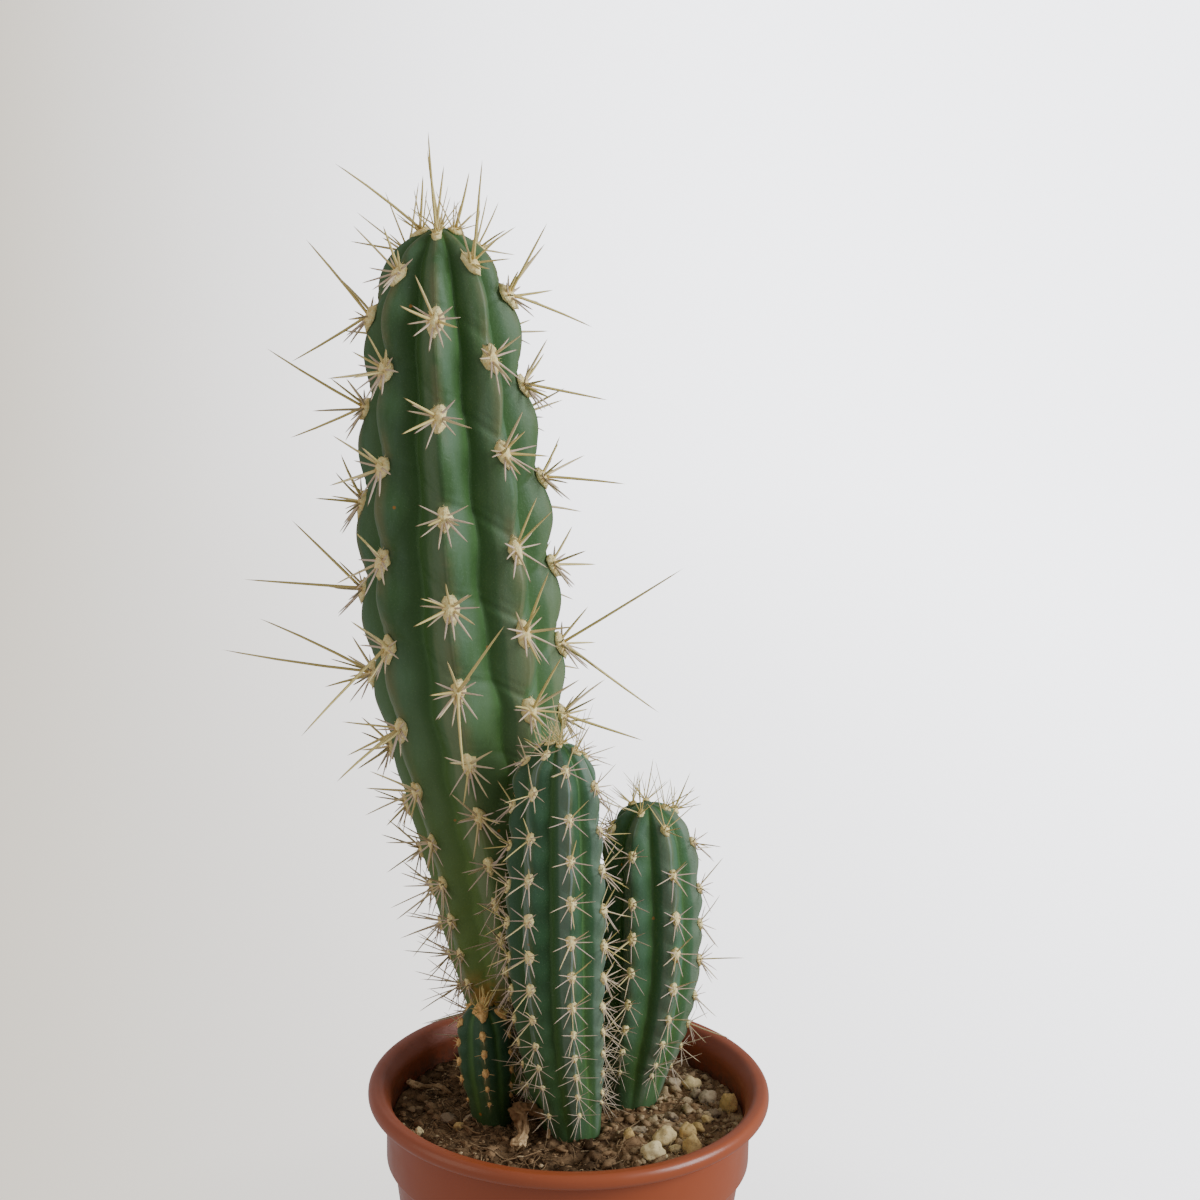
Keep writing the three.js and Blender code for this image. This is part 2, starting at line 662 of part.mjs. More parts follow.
// Drops the crest vertices that an areole has replaced.
function compact(vertices, triangles) {
  const used = new Map();
  const kept = [];
  const renumbered = triangles.map((corners) => corners.map((corner) => {
    if (!used.has(corner)) used.set(corner, kept.push(vertices[corner]) - 1);
    return used.get(corner);
  }));
  return geometryOf(kept, renumbered);
}

// ---------------------------------------------------------------- soil and what lies on it

// The hole a stem stands in: its root neck, a gap wider all round.
function socketGeometry(stem) {
  const { x, y, z, r } = stem.base;
  const wide = r + 2 * FIT_GAP + 0.5;
  const profile = [[0, z - NECK_TIP - 1.5]];
  for (const { depth, share } of [...NECK].reverse()) profile.push([wide * share + 0.5, z - depth - 1.2]);
  profile.push([wide + 0.5, z + 6], [0, z + 6]);
  return turned(profile, 20).translate(x, y, 0);
}

function pebbleGeometry({ x, y, size, turn }, index, growth = 0) {
  const big = Math.max(...size) > 5;
  const stone = mergeVertices(bareSphere(big ? 1 : 0));
  const random = randomStream(40 + index);
  const position = stone.attributes.position;
  for (let i = 0; i < position.count; i += 1) {
    const worn = 0.84 + 0.22 * random();
    const p = point().fromBufferAttribute(position, i).multiplyScalar(worn);
    position.setXYZ(i, p.x * (size[0] / 2 + growth), p.y * (size[1] / 2 + growth),
      p.z * (size[2] / 2 + growth));
  }
  stone.rotateZ(radians(turn));
  return stone.translate(x, y, soilHeight(x, y) + size[2] * 0.22);
}

function bareSphere(detail) {
  const sphere = new THREE.IcosahedronGeometry(1, detail);
  sphere.deleteAttribute('normal');
  sphere.deleteAttribute('uv');
  return sphere;
}

// A closed tube through a scrap's places, with a blunt point at both ends.
function scrapGeometry(rows, growth = 0) {
  const sides = 7;
  const spots = rows.map(scrapSpot);
  const vertices = spots.flatMap(({ spot, r }, i) => {
    const along = spots[Math.min(i + 1, spots.length - 1)].spot.clone();
    along.sub(spots[Math.max(i - 1, 0)].spot).normalize();
    const side = along.clone().cross(point(0, 0, 1)).normalize();
    const over = side.clone().cross(along);
    return Array.from({ length: sides }, (_, j) => {
      const angle = (j / sides) * TAU;
      const corner = spot.clone().addScaledVector(side, (r + growth) * Math.cos(angle));
      return corner.addScaledVector(over, (r + growth) * Math.sin(angle));
    });
  });
  const endBeyond = (end, neighbour) => {
    const outward = end.spot.clone().sub(neighbour.spot).normalize();
    return vertices.push(end.spot.clone().addScaledVector(outward, end.r + growth)) - 1;
  };
  const foot = endBeyond(spots[0], spots[1]);
  const tip = endBeyond(spots[spots.length - 1], spots[spots.length - 2]);
  const triangles = [];
  for (let j = 0; j < sides; j += 1) {
    const next = (j + 1) % sides;
    triangles.push([foot, j, next]);
    for (let row = 0; row + 1 < spots.length; row += 1) {
      const [a, b] = [row * sides + j, row * sides + next];
      triangles.push([a, a + sides, b + sides], [a, b + sides, b]);
    }
    const last = (spots.length - 1) * sides;
    triangles.push([last + j, tip, last + next]);
  }
  return geometryOf(vertices, triangles);
}

// A soil block that follows the pot's inside, with a lumpy top.
function soilBlock() {
  const vertices = [];
  const triangles = [];
  const count = SOIL.segments;
  const ringAt = (radius, heightAt) => {
    for (let i = 0; i < count; i += 1) {
      const turn = (i / count) * TAU;
      const [x, y] = [radius * Math.cos(turn), radius * Math.sin(turn)];
      vertices.push(point(x, y, heightAt(x, y)));
    }
  };
  const wallRadius = (z) => potInnerRadius(z) - FIT_GAP - 0.1;
  const floor = POT.channel.rise + POT.wall + FIT_GAP;
  const step = POT.height - POT.collarHeight;
  SOIL.rings.slice(1).forEach((radius) => ringAt(radius, soilHeight));
  ringAt(wallRadius(POT.height), soilHeight);
  ringAt(wallRadius(POT.height), () => step + 1.6);
  ringAt(wallRadius(step) - 0.1, () => step + 0.2);
  ringAt(wallRadius(0), () => floor);
  const rings = vertices.length / count;
  const top = vertices.push(point(0, 0, soilHeight(0, 0))) - 1;
  const bottom = vertices.push(point(0, 0, floor)) - 1;
  for (let i = 0; i < count; i += 1) {
    const j = (i + 1) % count;
    triangles.push([top, i, j]);
    for (let ring = 0; ring + 1 < rings; ring += 1) {
      const [a, b] = [ring * count + i, ring * count + j];
      triangles.push([a, a + count, b + count], [a, b + count, b]);
    }
    triangles.push([(rings - 1) * count + i, bottom, (rings - 1) * count + j]);
  }
  return geometryOf(vertices, triangles);
}

function soilGeometry(stems) {
  const dimples = PEBBLES.map((pebble, i) => pebbleGeometry(pebble, i, FIT_GAP));
  const grooves = Object.values(SCRAPS).map((rows) => scrapGeometry(rows, FIT_GAP));
  return cutAway(soilBlock(), [...stems.map(socketGeometry), ...dimples, ...grooves]);
}

// ---------------------------------------------------------------- assembly

function mesh(name, geometry, color, roughness) {
  const shaded = geometry.index ? geometry.toNonIndexed() : geometry;
  shaded.computeVertexNormals();
  const material = new THREE.MeshStandardMaterial({ color, roughness, metalness: 0, flatShading: true });
  const piece = new THREE.Mesh(shaded, material);
  piece.name = name;
  return piece;
}

function buildCactus() {
  const group = new THREE.Group();
  const stems = Object.entries(STEMS).map(([name, spec]) => new Stem(name, spec));
  const thicket = new Thicket(stems);
  group.add(mesh('pot', potGeometry(), COLOURS.pot, 0.42));
  group.add(mesh('soil', soilGeometry(stems), COLOURS.soil, 0.95));
  stems.forEach((stem, i) => {
    group.add(mesh(stem.name, stemGeometry(stem, 7 + i, thicket), COLOURS.cactus, 0.5));
  });
  PEBBLES.forEach((pebble, i) => {
    const name = `pebble_${String(i + 1).padStart(2, '0')}`;
    group.add(mesh(name, pebbleGeometry(pebble, i), COLOURS.pebble, 0.9));
  });
  for (const [name, rows] of Object.entries(SCRAPS)) {
    group.add(mesh(name, scrapGeometry(rows), COLOURS.husk, 0.9));
  }
  return group;
}

export default buildCactus();
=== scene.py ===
"""The looks of a potted tall cactus: ribbed stems with woolly areoles and spines, soil and a pot.

Lengths are in millimetres until a mesh is made, where MM turns them into metres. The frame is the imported
model's: +Z up, -Y towards the front, with the origin at the centre of the pot's foot. An azimuth goes
round a stem's own axis: 0 faces the front and 90 degrees faces +X.
"""

import logging
import math
from dataclasses import dataclass, field
from enum import Enum
from itertools import product

import bpy
import numpy as np
from mathutils import Matrix, Vector


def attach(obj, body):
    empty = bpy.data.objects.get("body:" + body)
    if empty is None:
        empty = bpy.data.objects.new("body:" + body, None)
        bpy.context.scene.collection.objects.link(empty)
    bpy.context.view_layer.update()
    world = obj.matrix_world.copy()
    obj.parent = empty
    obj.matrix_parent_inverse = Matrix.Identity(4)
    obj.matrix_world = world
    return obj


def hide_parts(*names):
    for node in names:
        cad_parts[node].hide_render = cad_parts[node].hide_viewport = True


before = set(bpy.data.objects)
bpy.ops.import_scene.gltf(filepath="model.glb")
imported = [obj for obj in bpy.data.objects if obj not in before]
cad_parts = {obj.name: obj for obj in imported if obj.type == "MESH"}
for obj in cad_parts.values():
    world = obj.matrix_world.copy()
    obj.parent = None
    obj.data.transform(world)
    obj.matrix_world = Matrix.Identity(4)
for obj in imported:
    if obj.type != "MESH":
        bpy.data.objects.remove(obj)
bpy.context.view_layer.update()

LOG = logging.getLogger("potted_cactus")
MM = 0.001
TAU = 2.0 * math.pi
BODY = "root"
Array = np.ndarray
Colour = tuple[float, float, float]

# How smooth_noise makes a number from a lattice corner's place and a seed: both are multiplied by large odd
# factors and added, the sum is stirred by shifts and more factors, and its lowest 24 bits are kept.
LATTICE_SHIFT = 512.0
AXIS_FACTORS = np.array([73856093, 19349663, 83492791], dtype=np.int64)
SEED_FACTOR = 15485863
STIRRING = ((15, 2246822519), (13, 3266489917))
LAST_SHIFT = 16
LOWEST_BITS = 0xFFFFFF


# ---------------------------------------------------------------- numbers worked out as whole arrays


def smooth_noise(places: Array, cell: float, seed: int) -> Array:
    """Value noise: a random number on each corner of a lattice of cubes, blended smoothly inside them.

    Args:
        places: points, one a row.
        cell: side of a cube of the lattice.
        seed: picks another set of random numbers.

    Returns:
        A number from -1 to 1 for each point.
    """
    scaled = places / cell + LATTICE_SHIFT
    low = np.floor(scaled).astype(np.int64)
    part = scaled - low
    part = part * part * (3.0 - 2.0 * part)
    total = np.zeros(len(places))
    for corner in product((0, 1), repeat=3):
        key = ((low + np.array(corner)) @ AXIS_FACTORS + seed * SEED_FACTOR).astype(np.uint64)
        for shift, factor in STIRRING:
            key = (key ^ (key >> np.uint64(shift))) * np.uint64(factor)
        key ^= key >> np.uint64(LAST_SHIFT)
        value = (key & np.uint64(LOWEST_BITS)).astype(float) / LOWEST_BITS
        total += value * np.prod(np.where(corner, part, 1.0 - part), axis=1)
    return 2.0 * total - 1.0


def smooth_step(low: float, high: float, value: Array) -> Array:
    """0 up to low, 1 from high on, and an S-shaped cubic between them."""
    t = np.clip((value - low) / (high - low), 0.0, 1.0)
    return t * t * (3.0 - 2.0 * t)


def smooth_through(knots: Array, rows: Array, stops: Array) -> Array:
    """Reads rows of numbers on the cubics through them, whose slope at a knot is its neighbours' mean slope.

    Between knots a and b, at share t of the way, the value is a times 2 t^3 - 3 t^2 + 1 plus b times
    3 t^2 - 2 t^3, plus the span times t^3 - 2 t^2 + t times a's slope and t^3 - t^2 times b's.

    Args:
        knots: where each row is given, in rising order.
        rows: the numbers, one row for each knot.
        stops: where they are read.

    Returns:
        A row of numbers for each stop.
    """
    last = len(knots) - 1
    index = np.arange(len(knots))
    before, after = np.maximum(index - 1, 0), np.minimum(index + 1, last)
    slopes = (rows[after] - rows[before]) / (knots[after] - knots[before])[:, None]
    low = np.clip(np.searchsorted(knots, stops, side="right") - 1, 0, last - 1)
    high = low + 1
    span = (knots[high] - knots[low])[..., None]
    t = np.clip((stops - knots[low])[..., None] / span, 0.0, 1.0)
    return ((2 * t ** 3 - 3 * t ** 2 + 1) * rows[low] + (t ** 3 - 2 * t ** 2 + t) * span * slopes[low]
            + (3 * t ** 2 - 2 * t ** 3) * rows[high] + (t ** 3 - t ** 2) * span * slopes[high])


def unit(vectors: Array) -> Array:
    """Each vector divided by its own length."""
    return vectors / np.linalg.norm(vectors, axis=-1, keepdims=True)


def across(vectors: Array, ways: Array) -> Array:
    """Each vector less what it has along a unit vector, made a unit vector again."""
    return unit(vectors - ways * np.sum(vectors * ways, axis=-1, keepdims=True))


def level(azimuth: Array) -> Array:
    """Level unit vectors at azimuths: x is the sine, and y less the cosine."""
    return np.stack([np.sin(azimuth), -np.cos(azimuth), 0.0 * azimuth], axis=-1)


def square_to(ways: Array) -> tuple[Array, Array]:
    """Unit vectors square to each way: its cross product with Z, or with X where it is steep, and that
    vector's cross product with it.

    Args:
        ways: unit vectors, one a row.

    Returns:
        The side vectors and the upper vectors.
    """
    helper = np.where(np.abs(ways[:, 2:]) < 0.8, (0.0, 0.0, 1.0), (1.0, 0.0, 0.0))
    side = unit(np.cross(ways, helper))
    return side, np.cross(side, ways)


def round_angles(number: int) -> Array:
    """Angles spread evenly over a whole turn, the first of them 0."""
    return np.arange(number) / number * TAU


def lathe(radii: Array, heights: Array, sides: int) -> Array:
    """Level rings about Z: x is the radius times the azimuth's sine, y less the radius times its cosine.

    Args:
        radii: radius of each ring.
        heights: height of each ring.
        sides: corners in each ring.

    Returns:
        The corners, one a row, ring after ring.
    """
    azimuth = round_angles(sides)
    x, y = np.outer(radii, np.sin(azimuth)), -np.outer(radii, np.cos(azimuth))
    return np.stack([x.ravel(), y.ravel(), np.repeat(heights, sides)], axis=1)


def ball(levels: int, sides: int) -> Array:
    """A ball of radius 1: rings half-way up equal steps of latitude, from the top down, then its poles.

    Args:
        levels: number of rings.
        sides: corners in each ring.

    Returns:
        The points, one a row.
    """
    latitude = (np.arange(levels) + 0.5) / levels * math.pi
    rings = lathe(np.sin(latitude), np.cos(latitude), sides)
    return np.concatenate([rings, [[0.0, 0.0, 1.0], [0.0, 0.0, -1.0]]])


def ring_quads(rows: int, columns: int) -> Array:
    """Quads between the successive rings of a grid that closes round its columns.

    Args:
        rows: number of rings.
        columns: points in each ring.

    Returns:
        Four indices a face, turning outwards where the rings run downwards and round by the right.
    """
    row, column = np.meshgrid(np.arange(rows - 1), np.arange(columns), indexing="ij")
    after = (column + 1) % columns
    corners = (row * columns + column, (row + 1) * columns + column,
               (row + 1) * columns + after, row * columns + after)
    return np.stack(corners, axis=-1).reshape(-1, 4)


def fan_triangles(pole: int, first: int, columns: int, under: bool = False) -> Array:
    """Triangles from a pole to a ring.

    Args:
        pole: index of the pole.
        first: index of the ring's first point.
        columns: points in the ring.
        under: whether the pole lies under the ring, which turns them over.

    Returns:
        Three indices a face.
    """
    column = np.arange(columns)
    here, after = first + column, first + (column + 1) % columns
    spokes = (after, here) if under else (here, after)
    return np.stack([np.full(columns, pole), *spokes], axis=-1)


def closed_faces(rows: int, columns: int, inverted: bool = False) -> tuple[Array, Array]:
    """The faces of a shape made of rings and then two poles, which close its first and last ring.

    Args:
        rows: number of rings.
        columns: points in each ring.
        inverted: turns all faces over, for rings that don't run as ring_quads says.

    Returns:
        Its quads and its triangles.
    """
    pole, quads = rows * columns, ring_quads(rows, columns)
    triangles = np.concatenate([fan_triangles(pole, 0, columns, under=inverted),
                                fan_triangles(pole + 1, pole - columns, columns, under=not inverted)])
    return (quads[:, ::-1] if inverted else quads), triangles


# ---------------------------------------------------------------- meshes


@dataclass
class Draft:
    """The points, faces and marks of one piece, gathered as whole arrays before its mesh is made.

    A mark is a number on each point, which the piece's finish reads as an attribute.
    """

    name: str
    points: list[Array] = field(default_factory=list)
    quads: list[Array] = field(default_factory=list)
    triangles: list[Array] = field(default_factory=list)
    marks: dict[str, list[Array]] = field(default_factory=dict)
    count: int = 0

    def add(self, points: Array, quads: Array | None = None, triangles: Array | None = None,
            **marks: Array) -> None:
        """Adds points, with the faces on them, whose indices start at 0 for the first of them.

        Args:
            points: points in millimetres, one a row.
            quads: four indices a face.
            triangles: three indices a face.
            marks: a number for each point; every call for one piece names the same marks.
        """
        for faces, given in ((self.quads, quads), (self.triangles, triangles)):
            if given is not None and len(given):
                faces.append(np.asarray(given) + self.count)
        self.points.append(points)
        for key, values in marks.items():
            self.marks.setdefault(key, []).append(np.broadcast_to(values, (len(points),)))
        self.count += len(points)

    def add_copies(self, shapes: Array, quads: Array | None, triangles: Array, **marks: Array) -> None:
        """Adds many shapes whose corners differ and whose faces are numbered alike.

        Args:
            shapes: the points of each shape, by shape and corner.
            quads: four corners of a shape a face, if it has any.
            triangles: three corners of a shape a face.
            marks: numbers that spread over all shapes and corners.
        """
        number, corners = shapes.shape[:2]
        shift = np.arange(number)[:, None, None] * corners
        faces = [None if given is None else (given + shift).reshape(-1, given.shape[1])
                 for given in (quads, triangles)]
        spread = {key: np.broadcast_to(values, (number, corners)).ravel() for key, values in marks.items()}
        self.add(shapes.reshape(-1, 3), *faces, **spread)

    def build(self) -> bpy.types.Object:
        """Makes the mesh in metres, smooth shaded, and the object that holds it at the origin.

        Returns:
            The object.
        """
        points = np.concatenate(self.points) * MM
        quads = np.concatenate(self.quads) if self.quads else np.zeros((0, 4), int)
        triangles = np.concatenate(self.triangles) if self.triangles else np.zeros((0, 3), int)
        corners = np.concatenate([quads.ravel(), triangles.ravel()]).astype(np.int32)
        triangle_starts = quads.size + np.arange(len(triangles)) * 3
        starts = np.concatenate([np.arange(len(quads)) * 4, triangle_starts]).astype(np.int32)
        mesh = bpy.data.meshes.new(self.name)
        mesh.vertices.add(len(points))
        mesh.vertices.foreach_set("co", points.astype(np.float32).ravel())
        mesh.loops.add(len(corners))
        mesh.loops.foreach_set("vertex_index", corners)
        mesh.polygons.add(len(starts))
        mesh.polygons.foreach_set("loop_start", starts)
        mesh.polygons.foreach_set("use_smooth", np.ones(len(starts), bool))
        for key, values in self.marks.items():
            attribute = mesh.attributes.new(key, "FLOAT", "POINT")
            attribute.data.foreach_set("value", np.concatenate(values).astype(np.float32))
        mesh.update(calc_edges=True)
        if mesh.validate():
            LOG.warning("%s had faces that were mended", self.name)
        piece = bpy.data.objects.new(self.name, mesh)
        bpy.context.scene.collection.objects.link(piece)
        return piece


def place(piece: bpy.types.Object, finish: bpy.types.Material, slot: str, *nodes: str) -> None:
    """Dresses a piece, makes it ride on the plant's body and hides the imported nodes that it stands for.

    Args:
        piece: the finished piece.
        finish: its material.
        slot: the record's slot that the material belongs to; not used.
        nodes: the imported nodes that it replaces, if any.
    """
    piece.data.materials.append(finish)
    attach(piece, BODY)
    if nodes:
        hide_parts(*nodes)
    LOG.info("%s: %d faces", piece.name, len(piece.data.polygons))


# ---------------------------------------------------------------- finishes


Feed = bpy.types.NodeSocket | float | tuple


class Graph:
    """A material's nodes, written with short calls. A socket or a plain value may feed any input."""

    def __init__(self, name: str) -> None:
        """Starts a material with its Principled shader.

        Args:
            name: the material's name.
        """
        self.material = bpy.data.materials.new(name)
        self.material.use_nodes = True
        self.tree = self.material.node_tree
        self.shader = self.tree.nodes["Principled BSDF"]
        self.coordinates = self.tree.nodes.new("ShaderNodeTexCoord").outputs["Object"]

    def feed(self, socket: bpy.types.NodeSocket, value: Feed) -> None:
        """Links a socket to an input, or sets the input's own value.

        Args:
            socket: the input.
            value: a socket, a number or a colour.
        """
        if isinstance(value, bpy.types.NodeSocket):
            self.tree.links.new(value, socket)
        else:
            socket.default_value = (*value, 1.0) if isinstance(value, tuple) and len(value) == 3 else value

    def add(self, kind: str, feeds: dict[str | int, Feed], **settings: object) -> bpy.types.Node:
        """Adds a node.

        Args:
            kind: the node's type without its ShaderNode prefix.
            feeds: what goes into its inputs, by name or number.
            settings: properties of the node.

        Returns:
            The node.
        """
        node = self.tree.nodes.new("ShaderNode" + kind)
        for key, value in settings.items():
            setattr(node, key, value)
        for key, value in feeds.items():
            self.feed(node.inputs[key], value)
        return node

    def mark(self, name: str) -> bpy.types.NodeSocket:
        """The number that the mesh holds on each point under this name."""
        return self.add("Attribute", {}, attribute_name=name).outputs["Fac"]

    def stretched(self, x: float, y: float, z: float) -> bpy.types.NodeSocket:
        """Object coordinates scaled along each axis, which draws a pattern out where a scale is small.

        Args:
            x: scale along X.
            y: scale along Y.
            z: scale along Z.

        Returns:
            The coordinates.
        """
        mapping = self.add("Mapping", {"Vector": self.coordinates})
        mapping.inputs["Scale"].default_value = (x, y, z)
        return mapping.outputs["Vector"]

    def noise(self, size: float, detail: float = 3.0, rough: float = 0.55,
              source: bpy.types.NodeSocket | None = None) -> bpy.types.NodeSocket:
        """Noise from 0 to 1 whose largest features are about size millimetres across.

        Args:
            size: feature size in millimetres.
            detail: how many times finer noise is added.
            rough: how strong the finer noise is.
            source: coordinates, or the object's own.

        Returns:
            The noise's value.
        """
        feeds = {"Vector": source or self.coordinates, "Scale": 1.0 / (size * MM), "Detail": detail,
                 "Roughness": rough}
        return self.add("TexNoise", feeds).outputs["Fac"]

    def cells(self, size: float) -> bpy.types.NodeSocket:
        """Distance from the nearest of many scattered points about size millimetres apart."""
        feeds = {"Vector": self.coordinates, "Scale": 1.0 / (size * MM)}
        return self.add("TexVoronoi", feeds).outputs["Distance"]

    def mask(self, value: Feed, low: float, high: float, bottom: float = 0.0,
             top: float = 1.0) -> bpy.types.NodeSocket:
        """A number that changes smoothly from bottom to top as the value goes from low to high.

        Args:
            value: the value.
            low: the value where it is bottom; it may exceed high.
            high: the value where it is top.
            bottom: the number on low's side.
            top: the number on high's side.

        Returns:
            The number.
        """
        feeds = {"Value": value, "From Min": low, "From Max": high, "To Min": bottom, "To Max": top}
        if low > high:
            feeds.update({"From Min": high, "From Max": low, "To Min": top, "To Max": bottom})
        return self.add("MapRange", feeds, interpolation_type="SMOOTHSTEP").outputs["Result"]

    def math(self, operation: str, a: Feed, b: Feed) -> bpy.types.NodeSocket:
        """One sum, product or other operation on two numbers."""
        return self.add("Math", {0: a, 1: b}, operation=operation).outputs[0]

    def times(self, a: Feed, b: Feed) -> bpy.types.NodeSocket:
        """The product of two numbers."""
        return self.math("MULTIPLY", a, b)

    def mix(self, share: Feed, base: Feed, over: Feed) -> bpy.types.NodeSocket:
        """The base colour where share is 0 and the other where it is 1."""
        return self.add("Mix", {0: share, 6: base, 7: over}, data_type="RGBA").outputs[2]

    def bump(self, height: Feed, depth: float, strength: float = 1.0,
             under: bpy.types.NodeSocket | None = None) -> bpy.types.NodeSocket:
        """A normal tilted by a height.

        Args:
            height: the height, from 0 to 1.
            depth: what a height of 1 is, in millimetres.
            strength: share of the tilt that shows.
            under: a normal that this one is added to.

        Returns:
            The tilted normal.
        """
        feeds = {"Height": height, "Distance": depth * MM, "Strength": strength}
        if under is not None:
            feeds["Normal"] = under
        return self.add("Bump", feeds).outputs["Normal"]

    def finish(self, colour: Feed, roughness: Feed, normal: bpy.types.NodeSocket | None = None,
               **fixed: float) -> bpy.types.Material:
        """Feeds the shader and gives the material.

        Args:
            colour: base colour.
            roughness: roughness.
            normal: the surface's normal, where a bump tilts it.
            fixed: other inputs of the shader, the same all over, with _ for a space.

        Returns:
            The material.
        """
        self.feed(self.shader.inputs["Base Color"], colour)
        self.feed(self.shader.inputs["Roughness"], roughness)
        if normal is not None:
            self.feed(self.shader.inputs["Normal"], normal)
        for key, value in fixed.items():
            self.shader.inputs[key.replace("_", " ")].default_value = value
        return self.material


@dataclass(frozen=True)
class SkinFinish:
    """Waxy cactus skin: dark in the furrows, bloomed with pale wax on the flanks, corky at the foot.

    Some of its colour is painted light and shade: the paler shoulder left of each crest is partly painted
    light, the darker flank right of a crest is partly painted shade, the lighter band at mid height is
    painted light, and the pale crest line is partly a painted highlight.
    """

    name: str
    furrow: Colour = (0.060, 0.135, 0.036)
    flank: Colour = (0.046, 0.106, 0.026)
    bloom: Colour = (0.118, 0.190, 0.122)
    crest: Colour = (0.165, 0.160, 0.070)
    # line: the crest's pale ridge, partly a painted highlight, bluish on the short stems
    line: Colour = (0.300, 0.320, 0.200)
    old: Colour = (0.132, 0.192, 0.036)
    # pale: the shoulder left of a crest, partly wax bloom and partly painted light from the left
    pale: Colour = (0.200, 0.232, 0.118)
    cork: Colour = (0.380, 0.195, 0.045)
    # bare: painted shade on the flank right of a crest, partly skin bare of wax
    bare: Colour = (0.020, 0.062, 0.020)
    # middle: painted light, a lighter green band at mid height
    middle: Colour = (0.118, 0.198, 0.092)
    pore: Colour = (0.270, 0.340, 0.200)
    scar: Colour = (0.240, 0.290, 0.230)
    rust: Colour = (0.360, 0.150, 0.030)
    bloom_share: float = 0.52
    line_highlight_share: float = 0.16
    line_from: float = 0.982
    old_share: float = 0.8
    pale_lit_share: float = 0.0
    pale_lit_top: float = 0.3
    bare_shade_share: float = 0.0
    middle_lit_share: float = 0.0

    def dress(self) -> bpy.types.Material:
        """Makes the material from the marks crest, side, rise and cork on the stem's mesh.

        Returns:
            The material.
        """
        g = Graph(self.name)
        crest, side, rise, cork = (g.mark(name) for name in ("crest", "side", "rise", "cork"))
        streaks = g.noise(6.0, 5.0, 0.62, g.stretched(1.0, 1.0, 0.25))
        clouds = g.noise(17.0, 4.0)
        colour = g.mix(g.mask(crest, 0.02, 0.5), self.furrow, self.flank)
        waxed = g.times(g.mask(streaks, 0.32, 0.70, 0.1, self.bloom_share), g.mask(crest, 0.2, 0.8))
        colour = g.mix(waxed, colour, self.bloom)
        # A lighter band at mid height, away from the furrows: painted light.
        middle = g.times(g.mask(rise, 0.26, 0.40), g.mask(rise, 0.62, 0.46, 0.0, self.middle_lit_share))
        colour = g.mix(g.times(middle, g.mask(crest, 0.1, 0.5)), colour, self.middle)
        # Right of each crest the flank is darkened: painted shade, partly skin bare of wax.
        colour = g.mix(g.mask(side, 0.05, 0.55, 0.0, self.bare_shade_share), colour, self.bare)
        worn = g.times(g.mask(crest, 0.80, 0.99, 0.0, 0.75), g.mask(clouds, 0.36, 0.66))
        colour = g.mix(worn, colour, self.crest)
        aged = g.times(g.mask(rise, 0.55, 0.16, 0.0, self.old_share), g.mask(clouds, 0.1, 0.6, 0.6, 1.0))
        colour = g.mix(aged, colour, self.old)
        # Left of each crest the shoulder is paled: partly wax bloom, partly painted light from the left.
        shoulder = g.times(g.mask(side, -0.10, -0.40), g.mask(crest, 0.50, 0.66))
        pale = g.times(shoulder, g.mask(rise, 0.72, 0.45, self.pale_lit_top * self.pale_lit_share, self.pale_lit_share))
        colour = g.mix(g.times(pale, g.mask(streaks, 0.2, 0.6, 0.6, 1.0)), colour, self.pale)
        # The pale line along each crest: partly a pale ridge, partly a painted highlight.
        line_core = 0.5 + 0.5 * self.line_from
        line = g.mask(crest, self.line_from, line_core, 0.0, self.line_highlight_share)
        colour = g.mix(g.times(line, g.mask(clouds, 0.36, 0.54)), colour, self.line)
        pores = g.cells(0.8)
        colour = g.mix(g.mask(pores, 0.24, 0.1, 0.0, 0.16), colour, self.pore)
        scars = g.mask(g.noise(3.2, 5.0, 0.7, g.stretched(1.0, 1.0, 2.2)), 0.66, 0.74, 0.0, 0.35)
        colour = g.mix(scars, colour, self.scar)
        specks = g.times(g.mask(g.cells(8.0), 0.085, 0.045), g.mask(clouds, 0.46, 0.6))
        colour = g.mix(specks, colour, self.rust)
        rusted = g.times(cork, g.mask(g.noise(2.6, 4.0), 0.30, 0.58, 0.0, 0.85))
        colour = g.mix(rusted, colour, self.cork)
        roughness = g.mask(streaks, 0.3, 0.75, 0.46, 0.62)
        skin = g.bump(g.noise(1.0, 3.0), 0.14, 0.75)
        skin = g.bump(g.mask(pores, 0.3, 0.0), 0.05, 0.5, skin)
        return g.finish(colour, roughness, skin, IOR=1.4, Specular_IOR_Level=0.4)


@dataclass(frozen=True)
class SpineFinish:
    """Horny spines: pinkish cream or straw, browner at the root and the tip, and greyer where old."""

    name: str
    cream: Colour = (0.700, 0.530, 0.410)
    straw: Colour = (0.720, 0.560, 0.200)
    brown: Colour = (0.320, 0.190, 0.075)
    aged: Colour = (0.540, 0.420, 0.310)

    def dress(self) -> bpy.types.Material:
        """Makes the material from the marks tone, along and age on the spines' mesh.

        Returns:
            The material.
        """
        g = Graph(self.name)
        tone, along, age = g.mark("tone"), g.mark("along"), g.mark("age")
        bands = g.noise(2.4, 3.0)
        colour = g.mix(g.mask(tone, 0.0, 1.0), self.cream, self.straw)
        colour = g.mix(g.mask(age, 0.0, 1.0, 0.0, 0.7), colour, self.aged)
        ends = g.math("MAXIMUM", g.mask(along, 0.14, 0.0, 0.0, 0.35), g.mask(along, 0.8, 1.0, 0.0, 0.6))
        colour = g.mix(ends, colour, self.brown)
        colour = g.mix(g.mask(bands, 0.5, 0.8, 0.0, 0.3), colour, self.brown)
        return g.finish(colour, 0.46, g.bump(g.noise(0.5, 2.0), 0.03, 0.5), IOR=1.5)


